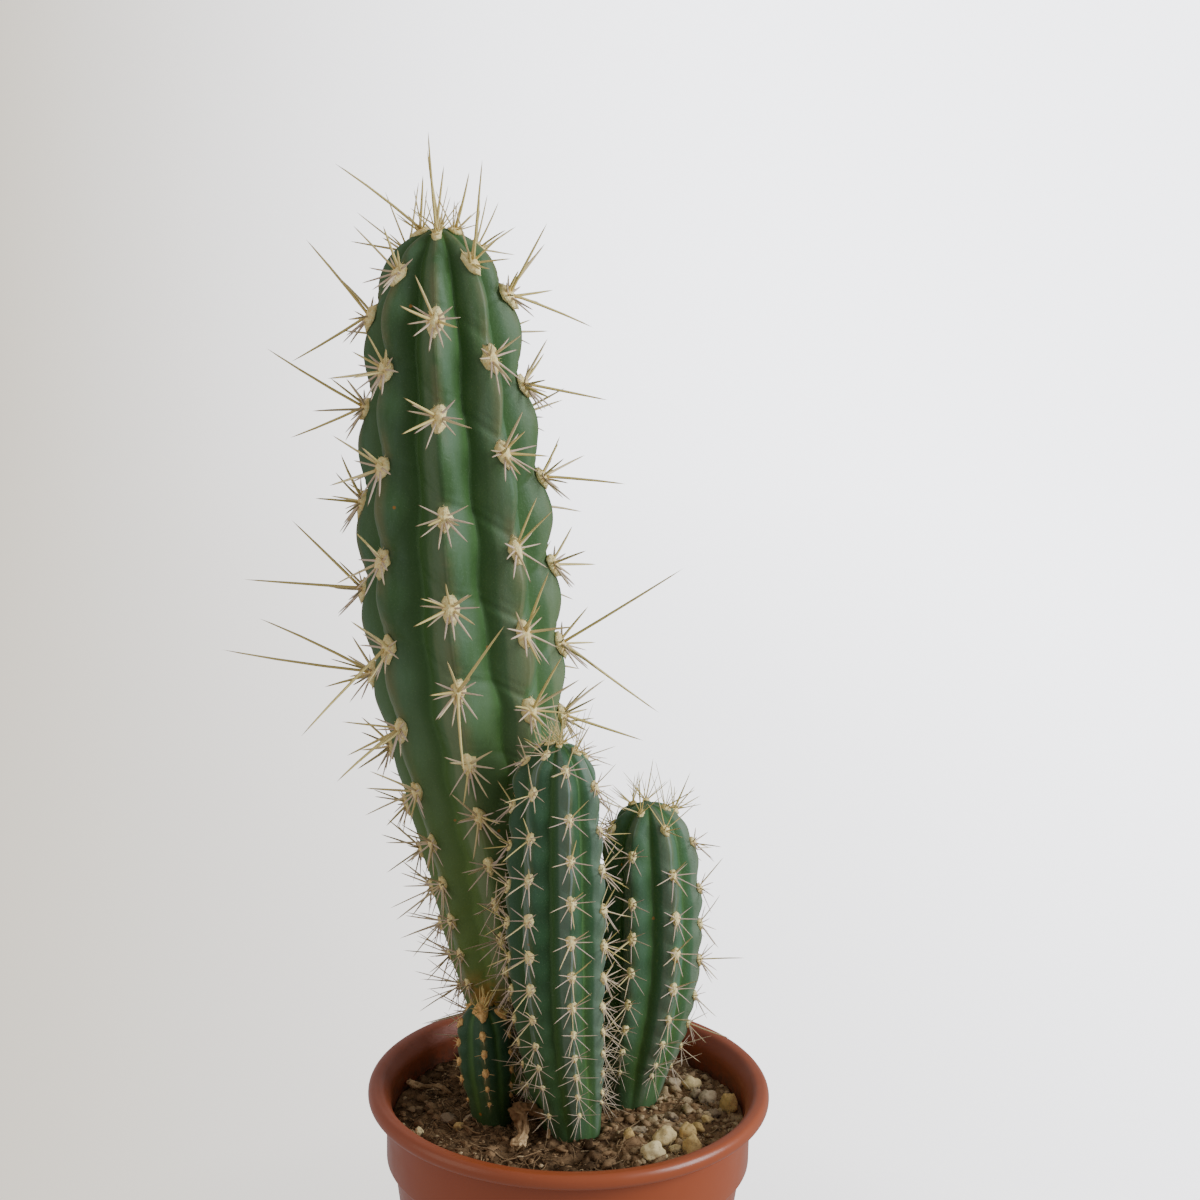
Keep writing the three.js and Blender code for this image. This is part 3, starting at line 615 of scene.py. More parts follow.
@dataclass(frozen=True)
class WoolFinish:
    """Areole wool: cream felt, with ochre as painted shade in the hollows between its lumps and in the felt's
    low spots.
    """

    name: str
    light: Colour
    deep: Colour

    def dress(self) -> bpy.types.Material:
        """Makes the material from the mark tone on the wool's mesh.

        Returns:
            The material.
        """
        g = Graph(self.name)
        colour = g.mix(g.mask(g.mark("tone"), 0.0, 1.0), self.deep, self.light)
        felt, tufts = g.noise(0.45, 4.0, 0.7), g.cells(0.85)
        # The deep ochre in the felt's low spots and between the lumps is painted shade.
        colour = g.mix(g.mask(felt, 0.42, 0.28, 0.0, 0.2), colour, self.deep)
        colour = g.mix(g.mask(tufts, 0.46, 0.66, 0.0, 0.55), colour, self.deep)
        tufted = g.bump(g.mask(tufts, 0.6, 0.0), 0.25, 0.7)
        return g.finish(colour, 0.9, g.bump(felt, 0.10, 0.7, tufted), Specular_IOR_Level=0.2)


@dataclass(frozen=True)
class PlasticFinish:
    """Moulded nursery-pot plastic: satin, faintly mottled, dusty with peat inside, scuffed on the lip."""

    name: str
    plastic: Colour = (0.320, 0.066, 0.020)
    mottle: Colour = (0.370, 0.090, 0.030)
    scuff: Colour = (0.480, 0.200, 0.110)
    dust: Colour = (0.075, 0.045, 0.028)

    def dress(self) -> bpy.types.Material:
        """Makes the material from the mark dust on the pot's mesh.

        Returns:
            The material.
        """
        g = Graph(self.name)
        clouds = g.noise(26.0, 3.0)
        colour = g.mix(g.mask(clouds, 0.3, 0.75, 0.0, 0.30), self.plastic, self.mottle)
        dust = g.mark("dust")
        grime = g.times(g.mask(dust, 0.3, 1.0), g.mask(g.noise(5.0, 5.0, 0.65), 0.32, 0.68))
        colour = g.mix(grime, colour, self.dust)
        scuffs = g.mask(g.noise(2.2, 5.0, 0.7, g.stretched(0.6, 0.6, 3.0)), 0.62, 0.74, 0.0, 0.12)
        colour = g.mix(scuffs, colour, self.scuff)
        roughness = g.math("ADD", g.mask(g.noise(9.0, 4.0), 0.3, 0.75, 0.27, 0.37), g.times(dust, 0.42))
        ripple = g.bump(g.noise(14.0, 2.0), 0.10, 0.5)
        return g.finish(colour, roughness, g.bump(g.noise(0.7, 2.0), 0.02, 0.4, ripple), IOR=1.5)


@dataclass(frozen=True)
class EarthFinish:
    """Peat, bark crumbs and fibres: the mark tone runs from wet peat over bark to pale straw."""

    name: str
    peat: Colour = (0.055, 0.028, 0.011)
    bark: Colour = (0.280, 0.163, 0.080)
    straw: Colour = (0.560, 0.405, 0.230)
    gap: Colour = (0.018, 0.010, 0.006)
    grain: float = 1.4

    def dress(self) -> bpy.types.Material:
        """Makes the material from the mark tone on the soil, crumb and fibre meshes.

        Returns:
            The material.
        """
        g = Graph(self.name)
        tone = g.mark("tone")
        colour = g.mix(g.mask(tone, 0.0, 0.55), self.peat, self.bark)
        colour = g.mix(g.mask(tone, 0.55, 1.0), colour, self.straw)
        grains = g.noise(self.grain, 5.0, 0.68)
        colour = g.mix(g.mask(grains, 0.5, 0.75, 0.0, 0.5), colour, self.bark)
        colour = g.mix(g.mask(grains, 0.46, 0.28, 0.0, 0.6), colour, self.gap)
        return g.finish(colour, 0.93, g.bump(grains, 0.5, 0.8), Specular_IOR_Level=0.2)


@dataclass(frozen=True)
class StoneFinish:
    """Pale clay and pumice gravel, pitted and stained with soil from below."""

    name: str
    light: Colour = (0.880, 0.700, 0.370)
    deep: Colour = (0.580, 0.370, 0.130)
    pit: Colour = (0.120, 0.080, 0.045)
    soil: Colour = (0.060, 0.038, 0.024)

    def dress(self) -> bpy.types.Material:
        """Makes the material from the marks tone and stain on a stone's mesh.

        Returns:
            The material.
        """
        g = Graph(self.name)
        tone, stain = g.mark("tone"), g.mark("stain")
        blotches = g.noise(2.4, 4.0, 0.6)
        colour = g.mix(g.mask(tone, 0.0, 1.0), self.deep, self.light)
        colour = g.mix(g.mask(blotches, 0.52, 0.74, 0.0, 0.7), colour, self.deep)
        pits = g.mask(g.cells(0.8), 0.26, 0.08)
        colour = g.mix(g.times(pits, 0.5), colour, self.pit)
        soiled = g.times(stain, g.mask(g.noise(1.2, 4.0), 0.35, 0.6))
        colour = g.mix(soiled, colour, self.soil)
        normal = g.bump(g.noise(0.8, 4.0, 0.65), 0.3, 0.8)
        return g.finish(colour, 0.88, g.bump(pits, 0.2, 0.8, normal))


@dataclass(frozen=True)
class HuskFinish:
    """Dry plant scraps: papery, wrinkled and streaked brown over straw."""

    name: str
    pale: Colour = (0.700, 0.470, 0.240)
    brown: Colour = (0.165, 0.078, 0.024)

    def dress(self) -> bpy.types.Material:
        """Makes the material from the mark tone on a scrap's mesh.

        Returns:
            The material.
        """
        g = Graph(self.name)
        folds = g.noise(1.6, 4.0, 0.6, g.stretched(1.0, 1.0, 0.4))
        colour = g.mix(g.mask(g.mark("tone"), 0.0, 1.0), self.brown, self.pale)
        colour = g.mix(g.mask(folds, 0.46, 0.64, 0.0, 0.85), colour, self.brown)
        return g.finish(colour, 0.8, g.bump(folds, 0.4, 0.8))


# ---------------------------------------------------------------- pot


@dataclass
class Pot:
    """The thin plastic nursery pot: a lathe with rounded corners and a ring of drain holes."""

    height: float = 108.5
    rim_radius: float = 65.0
    rim_flat: float = 3.4
    lip_drop: float = 5.2
    collar_radius: float = 59.0
    collar_height: float = 25.5
    shoulder_radius: float = 56.6
    foot_radius: float = 46.0
    wall: float = 1.5
    channel_inner: float = 17.0
    channel_outer: float = 35.0
    channel_rise: float = 2.0
    drains: int = 8
    drain_radius: float = 3.2
    segments: int = 176
    arc_steps: int = 5
    spacing: float = 5.0

    @property
    def step(self) -> float:
        """Height of the step under the collar."""
        return self.height - self.collar_height

    @property
    def bore(self) -> float:
        """The wall's inner radius over the step."""
        return self.collar_radius - self.wall

    def inner_radius(self, z: float) -> float:
        """The wall's inner radius at a height over the floor: a cone up to the step, then a cylinder.

        Args:
            z: the height.

        Returns:
            The radius.
        """
        if z > self.step:
            return self.bore
        foot, shoulder = self.foot_radius - self.wall, self.shoulder_radius - self.wall
        return foot + (shoulder - foot) * (z / self.step)

    def corners(self) -> Array:
        """The section's corners, each with how far it is rounded: radius, height, rounding.

        They run from the axis out along the foot, up the outside, over the lip and down the inside.

        Returns:
            The corners, one a row.
        """
        slope, chamfer, bevel = 1.0, 1.5, 1.2
        under_lip = self.height - self.lip_drop
        inner, outer, rise = self.channel_inner, self.channel_outer, self.channel_rise
        return np.array([
            (0.0, 0.0, 0.0), (inner - slope, 0.0, 0.6), (inner + slope, rise, 0.6),
            (outer - slope, rise, 0.6), (outer + slope, 0.0, 0.6),
            (self.foot_radius - chamfer, 0.0, 0.6), (self.foot_radius, chamfer, 0.9),
            (self.shoulder_radius, self.step - 1.2, 0.7), (self.collar_radius, self.step, 0.8),
            (self.collar_radius, under_lip, 0.7), (self.rim_radius - 1.0, under_lip, 0.8),
            (self.rim_radius, under_lip + 1.4, 0.8), (self.rim_radius, self.height - 1.6, 1.0),
            (self.rim_radius - bevel, self.height, 0.95),
            (self.rim_radius - bevel - self.rim_flat, self.height, 1.4),
            (self.bore, self.height - 4.5, 2.2), (self.bore, self.step + 1.0, 0.7),
            (self.shoulder_radius - self.wall, self.step - 0.2, 0.7),
            (self.foot_radius - self.wall, self.wall, 1.2), (outer + slope - self.wall, self.wall, 0.5),
            (outer - slope, rise + self.wall, 0.5), (inner + slope, rise + self.wall, 0.5),
            (inner - slope + self.wall, self.wall, 0.5), (0.0, self.wall, 0.0),
        ])

    def section(self) -> Array:
        """The rounded section: at each corner a parabola of arc_steps points between the two places its
        rounding reaches, and between corners straight runs with points no further apart than spacing.

        Returns:
            Radius and height, one point a row.
        """
        corners = self.corners()
        spots, cut = corners[:, :2], corners[1:-1, 2:]
        tips = spots[1:-1]
        start, end = tips + unit(spots[:-2] - tips) * cut, tips + unit(spots[2:] - tips) * cut
        t = np.linspace(0.0, 1.0, self.arc_steps)[None, :, None]
        arcs = (1 - t) ** 2 * start[:, None] + 2 * t * (1 - t) * tips[:, None] + t ** 2 * end[:, None]
        bare = np.concatenate([spots[:1], arcs.reshape(-1, 2), spots[-1:]])
        runs = np.linalg.norm(np.diff(bare, axis=0), axis=1)
        lengths = np.concatenate([[0.0], np.cumsum(runs)])
        pieces = np.maximum(1, np.ceil(runs / self.spacing)).astype(int)
        stops = [np.linspace(a, b, n, endpoint=False) for a, b, n in zip(lengths[:-1], lengths[1:], pieces)]
        stops = np.concatenate([*stops, lengths[-1:]])
        return np.stack([np.interp(stops, lengths, values) for values in bare.T], axis=1)

    def dustiness(self, section: Array) -> Array:
        """How dusty with peat the wall is: most inside near the soil, and a little on the lip's inside.

        Args:
            section: the section's radius and height, one point a row.

        Returns:
            A number from 0 to 1 for each of its points.
        """
        inside = np.arange(len(section)) > np.argmax(section[:, 1])
        near_soil = smooth_step(self.height - 2.0, self.height - 16.0, section[:, 1])
        return np.where(inside, 0.35 + 0.6 * near_soil, 0.03)

    def shell(self) -> bpy.types.Object:
        """Turns the section about Z into a closed shell, with its two ends on the axis as the poles.

        Returns:
            The shell.
        """
        section = self.section()
        radii, heights = section[1:-1].T
        poles = np.array([[0.0, 0.0, 0.0], [0.0, 0.0, self.wall]])
        dust = self.dustiness(section)
        draft = Draft("pot_shell")
        draft.add(np.concatenate([lathe(radii, heights, self.segments), poles]),
                  *closed_faces(len(radii), self.segments, inverted=True),
                  dust=np.concatenate([np.repeat(dust[1:-1], self.segments), dust[[0, -1]]]))
        return draft.build()

    def drill(self, shell: bpy.types.Object) -> None:
        """Cuts the drain holes, upright cylinders in a ring, through the raised channel of the floor.

        Args:
            shell: the pot's shell, which is changed.
        """
        sides, ends = 24, np.array([8.0, -4.0])
        poles = np.column_stack([np.zeros((2, 2)), ends])
        cylinder = np.concatenate([lathe(np.full(2, self.drain_radius), ends, sides), poles])
        middle = (self.channel_inner + self.channel_outer) / 2
        spots = middle * level(round_angles(self.drains) + math.pi / 2)
        draft = Draft("drain_cutter")
        draft.add_copies(cylinder + spots[:, None], *closed_faces(2, sides))
        cutter = draft.build()
        cut = shell.modifiers.new("drains", "BOOLEAN")
        cut.operation, cut.solver, cut.object = "DIFFERENCE", "EXACT", cutter
        depsgraph = bpy.context.evaluated_depsgraph_get()
        drilled = bpy.data.meshes.new_from_object(shell.evaluated_get(depsgraph))
        shell.modifiers.clear()
        shell.data = drilled
        bpy.data.objects.remove(cutter)

    def make(self) -> None:
        """Builds the pot and dresses it."""
        shell = self.shell()
        self.drill(shell)
        place(shell, PlasticFinish("pot_plastic").dress(), "pot_plastic", "pot")


# ---------------------------------------------------------------- soil


@dataclass
class Soil:
    """The potting mix: a lumpy block with crumbs of bark and peat and dry fibres on it."""

    pot: Pot
    edge: float = 95.6
    crown: float = 2.6
    roughness: float = 0.9
    gap: float = 0.4
    rings: int = 150
    segments: int = 360
    strewn: float = 55.5
    fibre_count: int = 760

    def height(self, x: Array, y: Array) -> Array:
        """The soil's smooth top: a low crown with slow lumps, which are sines of x and y.

        Args:
            x: x of each place.
            y: y of each place.

        Returns:
            The height of each.
        """
        outward = np.clip(np.hypot(x, y) / self.pot.bore, 0.0, 1.0)
        lumps = np.sin(0.31 * x + 1.3) * np.cos(0.27 * y - 0.4) + 0.6 * np.sin(0.53 * x - 0.47 * y)
        return self.edge + self.crown * (1 - outward ** 2) + self.roughness * lumps * (1 - outward ** 6)

    def rubble(self, x: Array, y: Array) -> Array:
        """The broken surface: the smooth top with three sizes of noise, each finer and lower.

        Args:
            x: x of each place.
            y: y of each place.

        Returns:
            The height of each.
        """
        flat = np.stack([x, y, np.zeros_like(x)], axis=1)
        broken = np.zeros(len(x))
        for cell, amount, seed in ((7.5, 0.95, 3), (2.8, 0.65, 4), (1.1, 0.38, 5)):
            broken += amount * smooth_noise(flat, cell, seed)
        return self.height(x, y) + broken

    def paler(self, x: Array) -> Array:
        """What clay adds to the soil's tone at the right, and dry peat a little at the left."""
        return 0.6 * smooth_step(6.0, 34.0, x) + 0.16 * smooth_step(-12.0, -36.0, x)

    def block(self) -> None:
        """Builds the block: polar rings of the broken surface, then the wall's inside and the floor."""
        wall, step = self.pot.bore - self.gap, self.pot.step
        floor = self.pot.channel_rise + self.pot.wall + 0.35
        radii = wall * (np.arange(1, self.rings + 1) / self.rings)
        top = lathe(radii, np.zeros(self.rings), self.segments)
        top[:, 2] = self.rubble(top[:, 0], top[:, 1])
        lower = np.array([(wall, step + 1.6), (self.pot.inner_radius(step) - self.gap - 0.1, step + 0.2),
                          (self.pot.inner_radius(0.0) - self.gap, floor)])
        poles = np.array([[0.0, 0.0, self.height(0.0, 0.0)], [0.0, 0.0, floor]])
        points = np.concatenate([top, lathe(*lower.T, self.segments), poles])
        tone = 0.18 + 0.25 * smooth_noise(points, 9.0, 6) + 0.25 * smooth_noise(points, 2.2, 7)
        tone += 0.5 * self.paler(points[:, 0])
        draft = Draft("soil_block")
        draft.add(points, *closed_faces(self.rings + len(lower), self.segments), tone=tone)
        place(draft.build(), EarthFinish("peat").dress(), "peat", "soil")

    def scattered(self, count: int, reach: float, random: np.random.Generator) -> tuple[Array, Array]:
        """Places spread evenly over a disc: radius is the root of a random number times reach."""
        radius, azimuth = reach * np.sqrt(random.random(count)), random.random(count) * TAU
        return radius * np.sin(azimuth), -radius * np.cos(azimuth)

    def crumbs(self, name: str, count: int, size: tuple[float, float], skew: float, uneven: float,
               stems: list["Stem"], finish: bpy.types.Material, seed: int) -> None:
        """Builds crumbs of one kind: squashed balls of seven by four corners, which random numbers dent.

        Args:
            name: the piece's name.
            count: how many are strewn.
            size: smallest and largest radius.
            skew: power of the random number between them, so that more of them are small.
            uneven: how deep the dents are, as a share of the radius.
            stems: the stems, inside which none is left.
            finish: the material.
            seed: picks the random numbers.
        """
        random = np.random.default_rng(seed)
        x, y = self.scattered(count, self.strewn, random)
        radius = size[0] + (size[1] - size[0]) * random.random(count) ** skew
        spots = np.stack([x, y, self.rubble(x, y) + 0.2 * radius], axis=1)
        outside = ~np.any([stem.holds(spots, 0.2) for stem in stems], axis=0)
        outside &= np.hypot(x, y) + radius < self.pot.bore
        spots, radius = spots[outside], radius[outside]
        number, levels, sides = len(spots), 4, 7
        shape = ball(levels, sides)
        stretch = random.uniform((0.7, 0.55, 0.4), (1.5, 1.1, 0.8), (number, 3))
        dents = 1.0 - uneven * (random.random((number, len(shape), 1)) - 0.35)
        lumps = shape * dents * stretch[:, None] * radius[:, None, None]
        lumps = turned(lumps, random.random(number) * TAU, 0.9 * (random.random(number) - 0.5))
        dark = 0.58 * random.random(number) ** 1.3 + self.paler(spots[:, 0])
        tone = np.where(random.random(number) < 0.07, 0.85, dark)
        draft = Draft(name)
        draft.add_copies(lumps + spots[:, None], *closed_faces(levels, sides), tone=tone[:, None])
        place(draft.build(), finish, "peat")

    def fibres(self, stems: list["Stem"]) -> None:
        """Builds the fibres: thin four-sided tubes on arcs that lie on the rubble and lift at their ends.

        Args:
            stems: the stems, which no fibre enters.
        """
        random = np.random.default_rng(12)
        count = self.fibre_count
        x, y = self.scattered(count, 50.0, random)
        heading, bend = random.random(count) * TAU, 2.6 * (random.random(count) - 0.5)
        length = 4.0 + 13.0 * random.random(count) ** 1.6
        t = np.linspace(-0.5, 0.5, 11)
        turn = heading[:, None] + bend[:, None] * t
        px = x[:, None] + length[:, None] * t * np.cos(turn)
        py = y[:, None] + length[:, None] * t * np.sin(turn)
        lift = 0.35 + 2.2 * random.random((count, 1)) * np.abs(t) ** 1.5 * 2
        pz = self.rubble(px.ravel(), py.ravel()).reshape(px.shape) * 0.5 + self.height(px, py) * 0.5 + lift
        lines = np.stack([px, py, pz], axis=-1)
        flat = lines.reshape(-1, 3)
        held = np.any([stem.holds(flat, 0.3) for stem in stems], axis=0).reshape(px.shape)
        within = np.hypot(px, py) < self.pot.bore - 0.8
        fits = np.all(within & ~held, axis=1)
        width = 0.06 + 0.13 * random.random(fits.sum()) ** 1.5
        tone = 0.25 + 0.6 * random.random(fits.sum()) ** 1.5
        draft = Draft("soil_fibres")
        for sides, strands in ((4, zip(lines[fits], width, tone)), (6, self.long_straws())):
            for line, radius, shade in strands:
                tube(draft, line, np.full(len(line), radius), sides, tone=shade)
        place(draft.build(), EarthFinish("fibre", grain=2.0).dress(), "dry_scrap")

    def long_straws(self) -> list[tuple[Array, float, float]]:
        """The three long dry straws near the front: parabolas between two places on the soil.

        Returns:
            The middle line, the radius and the tone of each.
        """
        straws = []
        for ends, sag, radius, tone in (
            (((-32.0, -24.0), (-12.0, -32.0)), (2.0, -3.5), 0.28, 0.70),
            (((-21.0, -35.5), (-2.0, -27.0)), (-1.5, -2.0), 0.24, 0.62),
            (((-42.0, -2.0), (-28.0, -18.0)), (-2.5, -1.0), 0.26, 0.55),
        ):
            t = np.linspace(0.0, 1.0, 19)[:, None]
            flat = np.array(ends[0]) * (1 - t) + np.array(ends[1]) * t + 4 * t * (1 - t) * np.array(sag)
            z = self.height(flat[:, 0], flat[:, 1]) + 1.3 + 0.5 * np.sin(9.0 * t[:, 0])
            straws.append((np.column_stack([flat, z]), radius, tone))
        return straws

    def make(self, stems: list["Stem"]) -> None:
        """Builds the block, its crumbs and its fibres.

        Args:
            stems: the stems that stand in it.
        """
        self.block()
        crumb = EarthFinish("crumb", grain=0.9).dress()
        self.crumbs("soil_crumbs", 2300, (0.35, 1.3), 2.4, 0.5, stems, crumb, 11)
        self.crumbs("bark_chunks", 480, (1.0, 2.9), 1.9, 0.85, stems, crumb, 13)
        self.fibres(stems)


def turned(shapes: Array, yaw: Array, pitch: Array) -> Array:
    """Shapes turned about Z after a tilt about X.

    Args:
        shapes: points, by shape and corner.
        yaw: each shape's turn about Z.
        pitch: each shape's tilt about X.

    Returns:
        The points.
    """
    x, y, z = shapes[..., 0], shapes[..., 1], shapes[..., 2]
    yaw, pitch = yaw[:, None], pitch[:, None]
    y, z = y * np.cos(pitch) - z * np.sin(pitch), y * np.sin(pitch) + z * np.cos(pitch)
    return np.stack([x * np.cos(yaw) - y * np.sin(yaw), x * np.sin(yaw) + y * np.cos(yaw), z], axis=-1)


def tube(draft: Draft, line: Array, radii: Array, sides: int, wrinkle: float = 0.0, folds: float = 0.0,
         **marks: Array) -> None:
    """Adds a closed tube: a ring of sides corners across each point of a line, with a pole at each end.

    A corner stands off the line by its radius, along the side vector times the cosine and the upper
    vector times the sine of its angle. Wrinkle varies that by smooth noise, and folds by a sine of
    three times the angle that turns along the line.

    Args:
        draft: the piece that it goes into.
        line: points of the middle line, one a row.
        radii: radius at each point.
        sides: corners in each ring.
        wrinkle: share of the radius that the noise adds or takes.
        folds: share of the radius that the folds add or take.
        marks: marks of the whole tube, or of each point of the line.
    """
    ways = unit(np.gradient(line, axis=0))
    reference = np.array([0.0, 0.0, 1.0]) if abs(ways[:, 2]).mean() < 0.8 else np.array([0.0, 1.0, 0.0])
    side = unit(np.cross(ways, reference))
    over = np.cross(side, ways)
    angle = round_angles(sides)
    out = side[:, None] * np.cos(angle)[:, None] + over[:, None] * np.sin(angle)[:, None]
    rings = line[:, None] + radii[:, None, None] * out
    if wrinkle:
        bumps = smooth_noise((rings + 3.0 * out).reshape(-1, 3), 1.3, 31).reshape(rings.shape[:2])
        twist = np.linspace(0.0, 5.0, len(line))[:, None]
        bumps = wrinkle * bumps + folds * np.sin(3.0 * angle + twist) * np.sin(1.0 + 2.0 * angle)
        rings += (bumps * radii[:, None])[..., None] * out
    blunt = 0.7
    ends = np.stack([line[0] - ways[0] * radii[0] * blunt, line[-1] + ways[-1] * radii[-1] * blunt])
    spread = {}
    for key, value in marks.items():
        along = np.broadcast_to(value, (len(line),))
        spread[key] = np.concatenate([np.repeat(along, sides), along[[0, -1]]])
    draft.add(np.concatenate([rings.reshape(-1, 3), ends]), *closed_faces(len(line), sides), **spread)


# ---------------------------------------------------------------- stones and scraps on the soil


@dataclass(frozen=True)
class Pebble:
    """One stone or clod: its place, its size across, front to back and upwards, its turn in degrees and
    its tone from deep to light."""

    x: float
    y: float
    size: tuple[float, float, float]
    turn: float
    tone: float

    PLANES = 11
    SHARPNESS = 22.0
    LARGEST = 1.15

    def make(self, name: str, seed: int, soil: Soil, finish: bpy.types.Material, *nodes: str) -> None:
        """Builds the stone: a ball cut by planes whose edges are softened, and roughened by noise.

        The distance to the surface along a direction d is a soft minimum, over the planes, of a plane's
        offset divided by the cosine between its normal and d.

        Args:
            name: the piece's name.
            seed: picks its planes and its noise.
            soil: the soil that it lies in.
            finish: its material.
            nodes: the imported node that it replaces, if any.
        """
        random = np.random.default_rng(40 + seed)
        levels, sides = 26, 38
        ways = ball(levels, sides)
        normals = unit(random.normal(size=(self.PLANES, 3)))
        facing = np.maximum(ways @ normals.T, 0.05)
        reach = (0.78 + 0.3 * random.random(self.PLANES)) / facing
        nearest = np.sum(reach ** -self.SHARPNESS, axis=1) ** (-1 / self.SHARPNESS)
        radius = np.minimum(nearest, self.LARGEST)
        for cell, amount, shift in ((0.85, 0.22, 60), (0.42, 0.13, 80), (0.18, 0.05, 100)):
            radius *= 1.0 + amount * smooth_noise(ways, cell, shift + seed)
        points = ways * radius[:, None] * (np.array(self.size) / 2.0)
        lift = float(soil.height(self.x, self.y)) + self.size[2] * 0.22
        points = turned(points[None], np.array([math.radians(self.turn)]), np.zeros(1))[0]
        points += (self.x, self.y, lift)
        above = points[:, 2] - soil.height(points[:, 0], points[:, 1])
        draft = Draft(name)
        draft.add(points, *closed_faces(levels, sides), tone=self.tone,
                  stain=1.0 - smooth_step(0.2, 2.2, above))
        place(draft.build(), finish, "pebble", *nodes)


PEBBLES = (
    Pebble(27.6, -29.0, (7.8, 7.2, 6.2), 20.0, 1.0),
    Pebble(31.2, -18.0, (8.4, 7.0, 6.4), 15.0, 0.6),
    Pebble(38.2, -16.0, (6.2, 5.6, 6.4), 10.0, 0.25),
    Pebble(39.8, -24.3, (5.6, 7.6, 6.4), -15.0, 0.2),
    Pebble(40.2, 21.3, (6.8, 5.2, 5.0), -20.0, 0.6),
    Pebble(52.4, 7.6, (5.2, 8.2, 7.0), 10.0, 0.0),
    Pebble(34.4, -23.2, (3.8, 3.8, 3.4), 40.0, 0.7),
    Pebble(19.6, -19.4, (3.6, 4.0, 4.6), 0.0, 0.1),
    Pebble(41.8, -8.8, (3.2, 4.6, 3.6), 25.0, 0.2),
    Pebble(44.8, -3.8, (4.2, 3.4, 2.8), 5.0, 0.3),
    Pebble(-47.8, -15.3, (2.6, 3.4, 3.0), 0.0, 0.75),
    Pebble(-34.8, -13.0, (3.8, 3.6, 3.0), 50.0, 0.1),
)

CLODS = (
    Pebble(45.6, 11.2, (6.4, 5.6, 4.8), 30.0, 0.8),
    Pebble(34.6, 20.4, (5.2, 4.4, 4.6), -10.0, 1.0),
    Pebble(42.0, 15.2, (3.2, 3.2, 4.0), 60.0, 0.7),
    Pebble(22.6, -13.0, (4.8, 4.2, 3.6), 15.0, 0.9),
    Pebble(36.8, -9.6, (3.4, 3.6, 3.8), 40.0, 0.9),
    Pebble(33.6, -4.0, (4.2, 3.2, 3.0), -25.0, 0.5),
    Pebble(47.2, 2.0, (4.6, 4.0, 3.4), 10.0, 0.3),
    Pebble(-38.6, -7.0, (5.4, 4.4, 3.4), -15.0, 0.3),
    Pebble(-30.8, -8.8, (4.4, 3.8, 3.4), 35.0, 0.5),
    Pebble(3.0, -47.6, (3.6, 3.0, 2.4), 0.0, 1.0),
)


@dataclass(frozen=True)
class Scrap:
    """A dry scrap: places along its middle line, each with its height over the soil and its radius, and
    its tone there."""

    name: str
    nodes: tuple[str, ...]
    stations: tuple[tuple[float, float, float, float], ...]
    tones: tuple[float, ...]
    wrinkle: float
    folds: float

    STEPS = 60
    SIDES = 30

    def make(self, soil: Soil, finish: bpy.types.Material) -> None:
        """Builds the scrap: a wrinkled tube on a smooth line through its stations.

        Args:
            soil: the soil that it lies on.
            finish: its material.
        """
        rows = np.array(self.stations)
        rows[:, 2] += soil.height(rows[:, 0], rows[:, 1])
        knots = np.arange(float(len(rows)))
        stops = np.linspace(0.0, knots[-1], self.STEPS)
        smooth = smooth_through(knots, np.column_stack([rows, self.tones]), stops)
        draft = Draft(self.name)
        tube(draft, smooth[:, :3], smooth[:, 3], self.SIDES, self.wrinkle, self.folds,
             tone=np.clip(smooth[:, 4], 0, 1))
        place(draft.build(), finish, "dry_scrap", *self.nodes)


SCRAPS = (
    Scrap("husk_curl", ("dry_husk",),
          ((-17.4, -26.0, 1.2, 1.1), (-15.6, -25.4, 1.8, 1.7), (-14.2, -23.6, 4.0, 1.4),
           (-14.4, -21.6, 6.6, 1.9), (-15.4, -20.2, 9.4, 2.1), (-14.8, -19.0, 11.6, 1.0)),
          (1.0, 1.0, 0.6, 0.15, 0.0, 0.1), 0.55, 0.5),
    Scrap("husk_frill", (),
          ((-15.6, -20.8, 8.6, 0.9), (-13.0, -19.8, 10.8, 1.5), (-9.6, -19.4, 10.6, 1.3),
           (-6.4, -19.6, 8.2, 1.1), (-5.6, -20.4, 4.6, 0.7), (-6.2, -21.2, 1.4, 0.4)),
          (0.1, 0.0, 0.2, 0.3, 0.5, 0.6), 0.6, 0.45),
    Scrap("root_curl", ("root_scrap",),
          ((-53.0, 19.0, 2.2, 0.7), (-52.6, 16.6, 2.6, 1.0), (-50.4, 15.6, 2.0, 1.0),
           (-47.0, 16.0, 1.5, 0.6), (-43.0, 15.6, 1.3, 0.8), (-39.0, 12.4, 1.2, 0.5)),
          (0.7, 0.8, 0.6, 0.3, 0.5, 0.1), 0.5, 0.3),
)


# ---------------------------------------------------------------- stems


class Wool(Enum):
    """Colour of a stem's areole wool, with its light and deep tones."""

    CREAM = ((1.000, 0.860, 0.430), (0.880, 0.580, 0.200))
    GOLDEN = ((0.860, 0.530, 0.210), (0.480, 0.240, 0.070))


@dataclass(frozen=True)
class Fan:
    """One kind of spine on an areole. Its angles are clockwise from straight up the rib, and its leans
    are from the areole's normal, all in degrees; pairs are the least and the most of a random number.

    Jitter is how many degrees the angles vary by, upwards_shorter the share that one pointing straight
    up is shorter by, and missing the share of spines left out.
    """

    angles: tuple[float, ...]
    lean: tuple[float, float]
    length: tuple[float, float]
    radius: float
    jitter: float
    upwards_shorter: float
    tone: tuple[float, float]
    missing: float


